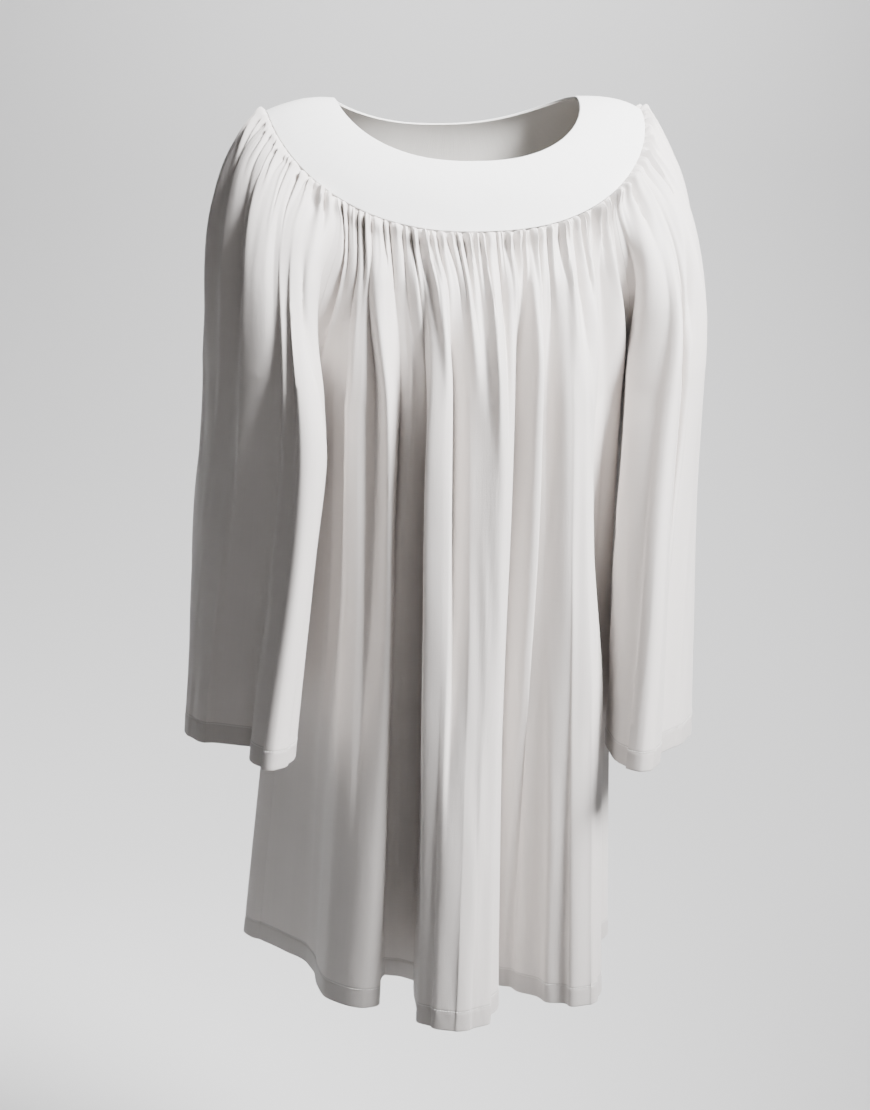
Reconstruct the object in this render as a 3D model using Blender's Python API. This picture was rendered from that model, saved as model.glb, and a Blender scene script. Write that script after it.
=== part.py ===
"""A white gathered surplice, worn and hollow, as cut and sewn cloth pieces.

Sizes below are in millimetres and become metres where a mesh is made. +Z is up, the front faces -Y,
and +X is the viewer's right. The origin lies midway between the two neck ends of the shoulder seams,
where the garment is held up.

Every cloth piece is a sheet with two directions: "cloth" runs across it, along the weft, and "down"
runs from its top seam (0) to its hem (1). Gathers and folds keep their place in the cloth, and where
two pieces are sewn they share one seam line, a small gap apart.
"""
import math

import bpy
import numpy as np

# Cloth
WALL = 1.3
YOKE_WALL = 1.6
LINING_WALL = 1.1
SEAM_GAP = 0.3
HEM_DEPTH = 22.0
HEM_EXTRA = 1.1

# Neck and yoke, as rings round the neck seen from above
NECK_HALF_WIDTH = 118.5
NECK_SIDE_Y = 12.0
NECK_FRONT_Y = -58.0
NECK_BACK_Y = 76.0
NECK_FRONT_DROP = 56.0
NECK_BACK_DROP = 26.0
YOKE_HALF_WIDTH = 183.5
YOKE_FRONT_Y = -84.0
YOKE_BACK_Y = 102.0
YOKE_SIDE_DROP = 12.0
YOKE_FRONT_DROP = 119.0
YOKE_BACK_DROP = 94.0
YOKE_ROUND = 2.4
YOKE_CROWN = 5.0

# Where the body meets the sleeves on the yoke seam, and the underarm point
RAGLAN_ANGLE = 43.0
UNDERARM_DOWN = 0.245
CREASE_RADIUS = 8.0
HEM_DROP = 882.0
RAGLAN_DROP = 84.0


def table(columns, rows):
    """Returns a dict of arrays, one for each named column."""
    return dict(zip(columns.split(), np.array(rows, float).T))


# The body's plan at each level: its half width and middle, the Y of its front, back and sides, and its
# squareness
BODY = table("down half_width middle front back side round", [
    (0.00, 183.5, 0, -84, 102, 12, 2.4),
    (0.08, 166, 0, -113, 124, 12, 2.4),
    (0.245, 148, 0, -134, 146, 16, 2.6),
    (0.45, 152, -2, -132, 172, 46, 2.5),
    (0.70, 166, -5, -122, 200, 88, 2.3),
    (1.00, 181, -8, -105, 228, 130, 2.2),
])

# Each sleeve's plan at each level: centre, half thickness, half length front to back, and its turn
SLEEVE_COLUMNS = "down centre_x centre_y half_thick half_long turn round"
SLEEVE_LEFT = table(SLEEVE_COLUMNS, [
    (0.00, 206, 10, 42, 105, 6, 2.3),
    (0.37, 196, 10, 38, 126, 8, 2.3),
    (0.65, 206, 14, 36, 124, 12, 2.2),
    (1.00, 219, 16, 36, 116, 10, 2.2),
])
SLEEVE_RIGHT = table(SLEEVE_COLUMNS, [
    (0.00, 198, 10, 36, 105, 0, 2.3),
    (0.37, 202, 10, 38, 122, 10, 2.3),
    (0.65, 194, -8, 38, 126, 17, 2.2),
    (1.00, 184, -28, 38, 130, 23, 2.2),
])
CUFF_DROP_LEFT = 612.0
CUFF_DROP_RIGHT = 624.0

# The large folds at the hem or cuff. cloth: where across the piece, -1 to 1. turn: the angle round the
# plan where it hangs, in degrees. out: how far it stands out. curl: how far its flanks lean over.
FOLD_COLUMNS = "cloth turn out curl"
FRONT_FOLDS = table(FOLD_COLUMNS, [
    (-1.00, -90, -4, 0),
    (-0.95, -82, -20, 0),
    (-0.89, -70, -34, 2),
    (-0.85, -61, -26, 2),
    (-0.81, -48, 1, 2),
    (-0.76, -40, 4, 2),
    (-0.70, -32, -12, 2),
    (-0.65, -44, -84, 0),
    (-0.57, -38, -92, 0),
    (-0.50, -24, -78, 2),
    (-0.45, -18.5, 12, 3),
    (-0.38, -14.5, 30, 3),
    (-0.22, -8.6, 41, 3),
    (0.02, -1, 33, 3),
    (0.17, 5, 6, 4),
    (0.27, 16, -52, 2),
    (0.34, 20, -36, 2),
    (0.43, 22, 2, 3),
    (0.52, 25, 28, 3),
    (0.60, 29, 44, 5),
    (0.66, 35, 36, 5),
    (0.73, 45, -6, 4),
    (0.82, 56, -22, 4),
    (0.91, 72, 14, 4),
    (1.00, 90, 0, 0),
])
BACK_FOLDS = table(FOLD_COLUMNS, [
    (-1.00, -90, -4, 0),
    (-0.93, -77, 12, 3),
    (-0.84, -63, -36, 4),
    (-0.73, -52, 16, 6),
    (-0.58, -39, 34, 7),
    (-0.44, -30, -52, 7),
    (-0.30, -20, 26, 6),
    (-0.13, -9, 42, 8),
    (0.03, 2, -56, 7),
    (0.19, 10, 30, 6),
    (0.35, 23, 40, 8),
    (0.49, 34, -46, 7),
    (0.63, 45, 30, 6),
    (0.78, 59, 18, 5),
    (0.88, 71, -26, 4),
    (0.95, 81, 2, 2),
    (1.00, 90, 0, 0),
])
SLEEVE_LEFT_FOLDS = table(FOLD_COLUMNS, [
    (-1, -180, 0, 0),
    (-0.945, -134, -2, 4),
    (-0.888, -92, 6, 4),
    (-0.849, -79, 20, 3),
    (-0.798, -64, 10, 5),
    (-0.678, -30, -24, 5),
    (-0.427, -12, 10, 3),
    (-0.0857, 2, 17, 3),
    (0.343, 24, 6, 4),
    (0.678, 52, -12, 6),
    (0.849, 86, 12, 7),
    (0.939, 126, -10, 5),
    (1, 180, 0, 0),
])
SLEEVE_RIGHT_FOLDS = table(FOLD_COLUMNS, [
    (-1, -180, 0, 0),
    (-0.945, -134, -4, 4),
    (-0.879, -94, 10, 4),
    (-0.849, -85, 22, 3),
    (-0.805, -66, 12, 4),
    (-0.726, -52, -8, 4),
    (-0.548, -30, 5, 3),
    (-0.257, -12, 13, 3),
    (0.0857, 10, 11, 3),
    (0.427, 36, -6, 5),
    (0.726, 62, 12, 6),
    (0.86, 90, -10, 6),
    (0.939, 126, 8, 5),
    (1, 180, 0, 0),
])

# Smaller folds and pull marks. cloth: where across the piece. out: how far out at most. width: across
# the piece. It begins at start, is full at full and is gone at end, all as places down the cloth.
CREASE_COLUMNS = "cloth out width start full end"
FRONT_CREASES = table(CREASE_COLUMNS, [
    (-0.94, 8, 0.029, 0.04, 0.24, 0.70),
    (-0.85, -7, 0.029, 0.06, 0.30, 0.80),
    (-0.76, 7, 0.037, 0.03, 0.20, 0.60),
    (-0.67, -7, 0.027, 0.05, 0.26, 0.75),
    (-0.40, 8, 0.054, 0.03, 0.22, 0.80),
    (-0.26, -9, 0.063, 0.05, 0.28, 1.00),
    (0.02, 9, 0.077, 0.03, 0.20, 0.75),
    (0.28, 11, 0.062, 0.02, 0.16, 0.65),
    (0.41, -10, 0.061, 0.04, 0.24, 0.75),
    (0.66, 7, 0.037, 0.03, 0.16, 0.50),
    (0.72, -9, 0.028, 0.04, 0.20, 0.55),
    (0.87, 6, 0.028, 0.05, 0.22, 0.60),
    (0.95, -7, 0.023, 0.06, 0.26, 0.65),
])
BACK_CREASES = table(CREASE_COLUMNS, [
    (-0.95, -7, 0.023, 0.05, 0.24, 0.65),
    (-0.85, 9, 0.029, 0.03, 0.20, 0.70),
    (-0.70, -9, 0.038, 0.04, 0.26, 0.75),
    (-0.63, 8, 0.035, 0.02, 0.16, 0.55),
    (-0.40, -8, 0.062, 0.05, 0.30, 0.85),
    (0.06, 10, 0.086, 0.03, 0.20, 0.65),
    (0.19, -8, 0.065, 0.04, 0.22, 0.80),
    (0.51, 8, 0.051, 0.03, 0.18, 0.60),
    (0.72, -7, 0.033, 0.05, 0.28, 0.75),
    (0.78, 9, 0.028, 0.02, 0.18, 0.55),
    (0.90, -8, 0.026, 0.05, 0.24, 0.70),
    (0.96, 6, 0.023, 0.04, 0.20, 0.60),
])
SLEEVE_LEFT_CREASES = table(CREASE_COLUMNS, [
    (-0.93, 18, 0.049, 0.00, 0.18, 0.70),
    (-0.89, 8, 0.03, 0.05, 0.34, 1.10),
    (-0.80, -10, 0.037, 0.06, 0.36, 1.20),
    (-0.57, 8, 0.091, 0.02, 0.24, 0.85),
    (-0.32, -6, 0.085, 0.04, 0.28, 0.70),
    (0.04, 6, 0.107, 0.03, 0.22, 0.60),
    (0.43, -7, 0.105, 0.05, 0.30, 0.80),
    (0.73, 7, 0.054, 0.03, 0.26, 0.70),
    (0.85, -8, 0.032, 0.05, 0.34, 0.90),
    (0.96, 14, 0.03, 0.00, 0.14, 0.50),
])
SLEEVE_RIGHT_CREASES = table(CREASE_COLUMNS, [
    (-0.94, 24, 0.050, 0.00, 0.24, 1.10),
    (-0.86, 9, 0.026, 0.06, 0.34, 1.20),
    (-0.79, -9, 0.031, 0.06, 0.36, 1.20),
    (-0.58, 7, 0.088, 0.03, 0.24, 0.70),
    (-0.21, -6, 0.107, 0.04, 0.28, 0.80),
    (0.13, 7, 0.107, 0.02, 0.20, 0.55),
    (0.51, -7, 0.099, 0.05, 0.34, 0.85),
    (0.77, 8, 0.045, 0.03, 0.26, 0.70),
    (0.88, -8, 0.027, 0.05, 0.34, 0.95),
    (0.96, 14, 0.029, 0.00, 0.14, 0.50),
])

# The numbers that vary the gathers from piece to piece
BODY_SEED = 0.6
SLEEVE_SEED = 2.0

# Each side's sleeve: its levels, folds, creases, cuff and seed
SLEEVE_SHAPES = {
    1: (SLEEVE_RIGHT, SLEEVE_RIGHT_FOLDS, SLEEVE_RIGHT_CREASES, CUFF_DROP_RIGHT, SLEEVE_SEED),
    -1: (SLEEVE_LEFT, SLEEVE_LEFT_FOLDS, SLEEVE_LEFT_CREASES, CUFF_DROP_LEFT, -SLEEVE_SEED),
}

# Gathers across each piece, their depth and length, where they have risen from the seam and where they
# have gone, and the depth of the middling folds that they run into
BODY_GATHERS = 34
SLEEVE_GATHERS = 27
GATHER_DEPTH = 3.2
GATHER_LENGTH = 85.0
GATHER_RISE = 14.0
GATHER_END = 190.0
PIPE_DEPTH = 6.0

# How far cloth takes to turn from the yoke's slope to plumb, and how steeply it starts
CHEST_REACH = 60.0
CHEST_SLOPE = 0.45
SHOULDER_REACH = 75.0
SHOULDER_SLOPE = 0.92

# How a piece goes round the body or the arm below the yoke seam. spread: the degrees that its middle
# covers for each unit of cloth. flare: the power with which its sewn edges catch up. reach: how much
# later its middle has opened than its edges. angle: what half a sleeve covers at the seam, in degrees.
BODY_SPREAD = 47.0
BODY_FLARE = 4.0
SLEEVE_SPREAD = 84.0
SLEEVE_FLARE = 8.0
SLEEVE_ANGLE = 88.0
FALL_REACH = 1.7

# The sleeves: where the underarm is down them, how clear they hang of the body and how far from the
# seam they are that clear, the band in which they are moved, and where down the sleeve that begins
SLEEVE_UNDERARM = 0.37
SLEEVE_CLEAR = 20.0
CLEAR_REACH = 40.0
CLEAR_BAND = 4.0
CLEAR_START = 0.05
CLEAR_FULL = 0.25

# The share of a sleeve beside its edge that the armhole seam draws in, and how far below the underarm
SEWN_SHARE = 0.22
SEWN_FADE = 40.0

# Half the width of a panel beside the underarm, which turns its cloth places into distances there, and
# half the width that the columns beside its sewn edges are measured on
BODY_HALF_CLOTH = 260.0
BODY_EDGE_CLOTH = 630.0
SLEEVE_HALF_CLOTH = 300.0
SLEEVE_EDGE_CLOTH = 1400.0

# The share of a piece beside its sewn edges in which creases and middling folds fade out
CREASE_FADE = 0.03
PIPE_FADE = 0.04

# Rows of the mesh: how far along the armhole seam, and how far down the piece below the underarm
SEAM_ROWS = (0.0, 0.06, 0.16, 0.30, 0.48, 0.66, 0.83, 1.0)
BODY_LOW_ROWS = (0.249, 0.258, 0.30, 0.38, 0.50, 0.64, 0.80)
SLEEVE_LOW_ROWS = (0.376, 0.386, 0.44, 0.53, 0.65, 0.81)
TURNED_EDGE = 0.5

# Columns of the mesh: the least space between two, those beside a sewn edge, where these begin along
# the armhole seam, and how far below the underarm these and the gathers' own columns go on
COLUMN_SPACE = 0.012
EDGE_COLUMNS = (0.0, 3.0, 8.0, 15.0)
EDGE_START = 0.2
EDGE_BELOW = 0.02
GATHERS_BELOW = 0.06
COLUMNS_PER_FOLD = 2

# The yoke's rows, and the share of its last strip that the lining covers
YOKE_ROWS = (0.0, 0.35, 0.7, 1.0)
LINING_END = 0.9


def ease(x):
    """A smooth step from 0 to 1."""
    x = np.clip(x, 0.0, 1.0)
    return x * x * (3.0 - 2.0 * x)


def curve(x, xs, ys):
    """A smooth curve through the table's points that never overshoots between them."""
    x = np.clip(x, xs[0], xs[-1])
    steps = np.diff(xs)
    slopes = np.diff(ys) / steps
    ends = np.zeros(len(xs))
    same = slopes[:-1] * slopes[1:] > 0
    total = np.where(same, slopes[:-1] + slopes[1:], 1.0)
    ends[1:-1] = np.where(same, 2.0 * slopes[:-1] * slopes[1:] / total, 0.0)
    ends[0] = slopes[0]
    ends[-1] = slopes[-1]
    k = np.clip(np.searchsorted(xs, x, side="right") - 1, 0, len(steps) - 1)
    q = (x - xs[k]) / steps[k]
    blend = q * q * (3.0 - 2.0 * q)
    start_pull = q * (1.0 - q) ** 2 * steps[k] * ends[k]
    end_pull = q * q * (1.0 - q) * steps[k] * ends[k + 1]
    return ys[k] * (1.0 - blend) + ys[k + 1] * blend + start_pull - end_pull


def oval(angle, across, along, power):
    """A rounded plan: the point and the outward direction at an angle from -Y, towards +X."""
    sine, cosine = np.sin(angle), np.cos(angle)
    size = (np.abs(sine) ** power + np.abs(cosine) ** power) ** (-1.0 / power)
    x, y = across * size * sine, -along * size * cosine
    out_x = np.sign(sine) * np.abs(size * sine) ** (power - 1.0) / across
    out_y = -np.sign(cosine) * np.abs(size * cosine) ** (power - 1.0) / along
    length = np.hypot(out_x, out_y)
    return x, y, out_x / length, out_y / length


def neck_ring(angle, half_width, front, back, front_drop, back_drop, side_drop):
    """A ring of the yoke, at an angle from the front centre towards the viewer's right."""
    facing = np.cos(angle)
    along = np.where(facing > 0, NECK_SIDE_Y - front, back - NECK_SIDE_Y)
    x, y, out_x, out_y = oval(angle, half_width, along, YOKE_ROUND)
    forward = np.abs(y) / along
    drop = np.where(facing > 0, front_drop, back_drop) - side_drop
    power = np.where(facing > 0, 1.4, 2.6)
    return np.stack([x, y + NECK_SIDE_Y, -side_drop - drop * forward ** power], -1)


def neck_edge(angle):
    return neck_ring(angle, NECK_HALF_WIDTH, NECK_FRONT_Y, NECK_BACK_Y,
                     NECK_FRONT_DROP, NECK_BACK_DROP, 0.0)


def yoke_seam(angle):
    return neck_ring(angle, YOKE_HALF_WIDTH, YOKE_FRONT_Y, YOKE_BACK_Y,
                     YOKE_FRONT_DROP, YOKE_BACK_DROP, YOKE_SIDE_DROP)


def yoke_point(angle, down):
    """The yoke between its neck edge (down 0) and its seam (down 1), lightly crowned."""
    inner, outer = neck_edge(angle), yoke_seam(angle)
    point = inner + (outer - inner) * down[..., None]
    rise = YOKE_CROWN * 4.0 * down * (1.0 - down)
    outward = np.stack([np.sin(angle) * 0.5, -np.cos(angle) * 0.5, np.full_like(angle, 0.85)], -1)
    return point + outward * rise[..., None]


def gather_phase(cloth, count, seed):
    """Turns of the gathers across the piece, a little uneven in width."""
    uneven = 0.9 * np.sin(7.0 * cloth + seed) + 0.6 * np.sin(17.0 * cloth + 2.0 * seed)
    uneven = uneven + 0.7 * np.sin(41.0 * cloth + 3.0 * seed)
    return math.pi * count * cloth + uneven


def gathers(cloth, length, count, seed):
    """Small pleats that leave the seam together and die out at uneven lengths."""
    phase = gather_phase(cloth, count, seed)
    number = phase / (2.0 * math.pi)
    strength = 0.8 + 0.25 * np.sin(2.3 * number + seed) + 0.15 * np.sin(5.1 * number)
    reach = GATHER_LENGTH * (1.0 + 0.45 * np.sin(1.7 * number + 1.3 * seed))
    rise = ease(length / GATHER_RISE)
    fall = np.exp(-((length / reach) ** 1.6)) * (1.0 - ease(length / GATHER_END))
    return GATHER_DEPTH * strength * rise * fall * np.cos(phase)


def pipes(cloth, down, count, seed):
    """Middling folds: three or so gathers run together and fade into the large folds."""
    phase = gather_phase(cloth, count, seed) / 3.0
    number = phase / (2.0 * math.pi)
    strength = 0.75 + 0.3 * np.sin(1.9 * number + seed) + 0.2 * np.sin(4.3 * number)
    start = ease(down / 0.09)
    end = 1.0 - ease((down - 0.16) / (0.30 + 0.12 * np.sin(1.4 * number + seed)))
    return PIPE_DEPTH * strength * start * end * np.cos(phase)


def hem_folds(cloth, folds):
    """The large folds at full strength: how far out, and how far sideways, each bit of cloth goes."""
    at, out = folds["cloth"], folds["out"]
    k = np.clip(np.searchsorted(at, cloth, side="right") - 1, 0, len(at) - 2)
    part = (cloth - at[k]) / (at[k + 1] - at[k])
    lean = (folds["curl"][k] + folds["curl"][k + 1]) * 0.5 * np.sign(out[k] - out[k + 1])
    return curve(cloth, at, out), lean * np.sin(2.0 * math.pi * part)


def crease_folds(cloth, down, creases):
    """The smaller folds, each a soft ridge or trough along the cloth."""
    total = np.zeros_like(cloth)
    for place, out, width, start, full, end in zip(*creases.values()):
        strength = ease((down - start) / (full - start)) * (1.0 - ease((down - full) / (end - full)))
        total += out * strength * np.exp(-(((cloth - place) / width) ** 2))
    return total * ease((1.0 - np.abs(cloth)) / CREASE_FADE)


def turn_in(distance, radius):
    """How far the cloth turns sideways as it runs into a crease of the given radius."""
    return radius * (1.0 - np.sin(np.clip(distance / np.maximum(radius, 0.01), 0.0, math.pi / 2)))


def spread(cloth, middle, edge, power):
    """The angle at which cloth hangs below the underarm, out of edge at a piece's sewn edges.

    Cloth gathered at the yoke hangs nearly plumb, and only the flare by the edges goes round the side.
    """
    return np.sign(cloth) * (middle * np.abs(cloth) + (edge - middle) * np.abs(cloth) ** power)


def opening(cloth, along):
    """How far the cloth has opened from the yoke seam (0) to the underarm (1), later in its middle."""
    edge = np.abs(cloth)
    at_seam = 2.0 * ease(0.5 * np.clip(along, 0.0, 1.0))
    left = 1.0 - np.clip(along / (1.0 + (FALL_REACH - 1.0) * (1.0 - edge ** 3)), 0.0, 1.0)
    inside = 1.0 - left * left
    return inside + (at_seam - inside) * edge ** 4


def body_plan(angle, down):
    """The body's plain plan at a level, without folds: x, y and the outward direction."""
    side = curve(down, BODY["down"], BODY["side"])
    front = side - curve(down, BODY["down"], BODY["front"])
    back = curve(down, BODY["down"], BODY["back"]) - side
    along = np.where(np.cos(angle) > 0, front, back)
    across = curve(down, BODY["down"], BODY["half_width"])
    x, y, out_x, out_y = oval(angle, across, along, curve(down, BODY["down"], BODY["round"]))
    return x + curve(down, BODY["down"], BODY["middle"]), y + side, out_x, out_y


def body_point(cloth, down, facing):
    """The front (facing 1) or back (facing -1) panel at a place in its cloth."""
    folds, creases = ((FRONT_FOLDS, FRONT_CREASES) if facing > 0 else (BACK_FOLDS, BACK_CREASES))
    seam_turn = RAGLAN_ANGLE * cloth
    hung = spread(cloth, BODY_SPREAD, 90.0, BODY_FLARE)
    hung = hung + (curve(cloth, folds["cloth"], folds["turn"]) - hung) * ease(down)
    angle = np.radians(seam_turn + (hung - seam_turn) * opening(cloth, down / UNDERARM_DOWN))
    angle = angle if facing > 0 else math.pi - angle
    x, y, out_x, out_y = body_plan(angle, down)

    seam_angle = np.radians(seam_turn)
    seam = yoke_seam(seam_angle if facing > 0 else math.pi - seam_angle)
    drop = RAGLAN_DROP + (HEM_DROP - RAGLAN_DROP) * down
    z = -drop + (seam[..., 2] + RAGLAN_DROP) * (1.0 - ease(down / UNDERARM_DOWN))
    length = (HEM_DROP - RAGLAN_DROP) * down

    quiet = ease((1.0 - np.abs(cloth)) / PIPE_FADE)
    small = gathers(cloth, length, BODY_GATHERS, BODY_SEED * facing)
    small = small + pipes(cloth, down, BODY_GATHERS, BODY_SEED * facing) * quiet
    small = small + crease_folds(cloth, down, creases)
    big_out, big_side = hem_folds(cloth, folds)
    growth = down ** 0.8
    slope = CHEST_SLOPE * np.exp(-length / CHEST_REACH)
    outward = small * np.sqrt(1.0 - slope * slope) + big_out * growth
    sideways = big_side * growth * facing
    x = x + outward * out_x - sideways * out_y
    y = y + outward * out_y + sideways * out_x
    z = z + small * slope

    beside = (1.0 - np.abs(spread(cloth, BODY_SPREAD, 90.0, BODY_FLARE)) / 90.0) * BODY_HALF_CLOTH
    below = np.maximum(down - UNDERARM_DOWN, 0.0) * (HEM_DROP - RAGLAN_DROP)
    radius = CREASE_RADIUS * ease(down / (0.4 * UNDERARM_DOWN))
    x = x + np.sign(cloth) * turn_in(np.hypot(beside, below), radius)
    return np.stack([x, y, z], -1)


def sleeve_plan(angle, down, levels):
    """A sleeve's plain plan at a level, at an angle from its outer side towards its back."""
    half_thick = curve(down, levels["down"], levels["half_thick"])
    half_long = curve(down, levels["down"], levels["half_long"])
    x, y, out_x, out_y = oval(angle + math.pi / 2, half_thick, half_long,
                              curve(down, levels["down"], levels["round"]))
    turn = np.radians(-curve(down, levels["down"], levels["turn"]))
    cosine, sine = np.cos(turn), np.sin(turn)
    centre_x = curve(down, levels["down"], levels["centre_x"])
    centre_y = curve(down, levels["down"], levels["centre_y"])
    return (centre_x + cosine * x - sine * y, centre_y + sine * x + cosine * y,
            cosine * out_x - sine * out_y, sine * out_x + cosine * out_y)


def fallen(length, slope):
    """How far cloth has dropped after a length that leaves on a slope and ends hanging plumb."""
    def height(share):
        upright = np.sqrt(1.0 - share * share)
        return np.arctanh(np.minimum(upright, 1.0 - 1e-12)) - upright
    now = np.maximum(slope * np.exp(-length / SHOULDER_REACH), 1e-5)
    return SHOULDER_REACH * (height(now) - height(slope))


def loose_sleeve(cloth, down, levels, folds, creases, cuff_drop, seed):
    """A sleeve before it is sewn, as on the right side: cloth -1 is its front edge, 1 its back."""
    seam = yoke_seam(np.radians(90.0 + (90.0 - RAGLAN_ANGLE) * cloth))
    head = -YOKE_SIDE_DROP - (RAGLAN_DROP - YOKE_SIDE_DROP) * np.abs(cloth) ** 1.7
    slope = SHOULDER_SLOPE - 0.45 * np.abs(cloth) ** 1.5
    far = 8.0 * SHOULDER_REACH
    whole = head + cuff_drop + far - fallen(far, slope)
    length = whole * down
    settle = 1.0 - ease(down / SLEEVE_UNDERARM)
    z = head - fallen(length, slope) + (seam[..., 2] - head) * settle

    hung = spread(cloth, SLEEVE_SPREAD, 180.0, SLEEVE_FLARE)
    hung = hung + (curve(cloth, folds["cloth"], folds["turn"]) - hung) * ease(down)
    seam_turn = SLEEVE_ANGLE * cloth
    angle = np.radians(seam_turn + (hung - seam_turn) * opening(cloth, down / SLEEVE_UNDERARM))
    x, y, out_x, out_y = sleeve_plan(angle, down, levels)
    full = 1.0 - np.exp(-whole * SLEEVE_UNDERARM / SHOULDER_REACH)
    away = np.minimum((1.0 - np.exp(-length / SHOULDER_REACH)) / full, 1.0)
    x = seam[..., 0] + (x - seam[..., 0]) * away
    y = seam[..., 1] + (y - seam[..., 1]) * away

    quiet = ease((1.0 - np.abs(cloth)) / PIPE_FADE)
    small = gathers(cloth, length, SLEEVE_GATHERS, seed)
    small = small + pipes(cloth, 0.8 * down, SLEEVE_GATHERS, seed) * quiet
    small = small + crease_folds(cloth, down, creases)
    big_out, big_side = hem_folds(cloth, folds)
    growth = down ** 0.9
    lean = slope * np.exp(-length / SHOULDER_REACH)
    outward = small * np.sqrt(1.0 - lean * lean) + big_out * growth
    x = x + outward * out_x - big_side * growth * out_y
    y = y + outward * out_y + big_side * growth * out_x
    return np.stack([x, y, z + small * lean], -1)


def keep_clear(point, down, distance, side):
    """Moves a sleeve's inner side just clear of the body's, from its distance to their seam."""
    level = np.clip((-point[..., 2] - RAGLAN_DROP) / (HEM_DROP - RAGLAN_DROP), 0.0, 1.0)
    names = ("half_width", "middle", "front", "back", "side", "round")
    across, middle, front, back, level_side, power = (curve(level, BODY["down"], BODY[name])
                                                      for name in names)
    along = np.where(point[..., 1] < level_side, level_side - front, back - level_side)
    share = np.clip(np.abs(point[..., 1] - level_side) / along, 0.0, 1.0)
    limit = side * middle + across * (1.0 - share ** power) ** (1.0 / power)
    limit = limit + SLEEVE_CLEAR * (1.0 - np.exp(-distance / CLEAR_REACH))
    short = np.maximum(limit + CLEAR_BAND - point[..., 0], 0.0)
    begun = ease((down - CLEAR_START) / (CLEAR_FULL - CLEAR_START))
    push = short * short / (short + CLEAR_BAND) * begun
    return point + push[..., None] * np.array([1.0, 0.0, 0.0])


def sleeve_point(cloth, down, side):
    """A sleeve with its edges on the armhole seams, closed under the arm (side 1 right, -1 left)."""
    shape = SLEEVE_SHAPES[side]
    mirror = np.array([side, 1.0, 1.0])
    point = loose_sleeve(cloth, down, *shape)
    above = np.minimum(down, SLEEVE_UNDERARM)
    below = (down - above) * CUFF_DROP_LEFT
    radius = CREASE_RADIUS * ease(above / (0.4 * SLEEVE_UNDERARM))
    round_arm = spread(cloth, SLEEVE_SPREAD, 180.0, SLEEVE_FLARE) / 180.0
    for end in (-1.0, 1.0):
        edge = np.full_like(cloth, end)
        own = loose_sleeve(edge, above, *shape)
        sewn = body_point(side * np.ones_like(cloth), above / SLEEVE_UNDERARM * UNDERARM_DOWN, -end)
        near = ease((end * cloth - 1.0 + SEWN_SHARE) / SEWN_SHARE) * np.exp(-below / SEWN_FADE)
        beside = (1.0 - end * round_arm) * SLEEVE_HALF_CLOTH
        shift = sewn * mirror - own
        shift[..., 0] += radius - turn_in(np.hypot(beside, below), radius)
        point = point + shift * near[..., None]
    distance = np.hypot((1.0 - np.abs(round_arm)) * SLEEVE_HALF_CLOTH, below)
    return keep_clear(point, down, distance, side) * mirror


def strip(first, second):
    """Triangles between two rows of mesh points, given as (places across, first index)."""
    (a, a0), (b, b0) = first, second
    faces = []
    i = j = 0
    while i < len(a) - 1 or j < len(b) - 1:
        step_first = j == len(b) - 1 or (i < len(a) - 1 and a[i] + a[i + 1] <= b[j] + b[j + 1])
        if step_first:
            faces.append((a0 + i, b0 + j, a0 + i + 1))
            i += 1
        else:
            faces.append((a0 + i, b0 + j, b0 + j + 1))
            j += 1
    return faces


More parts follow.
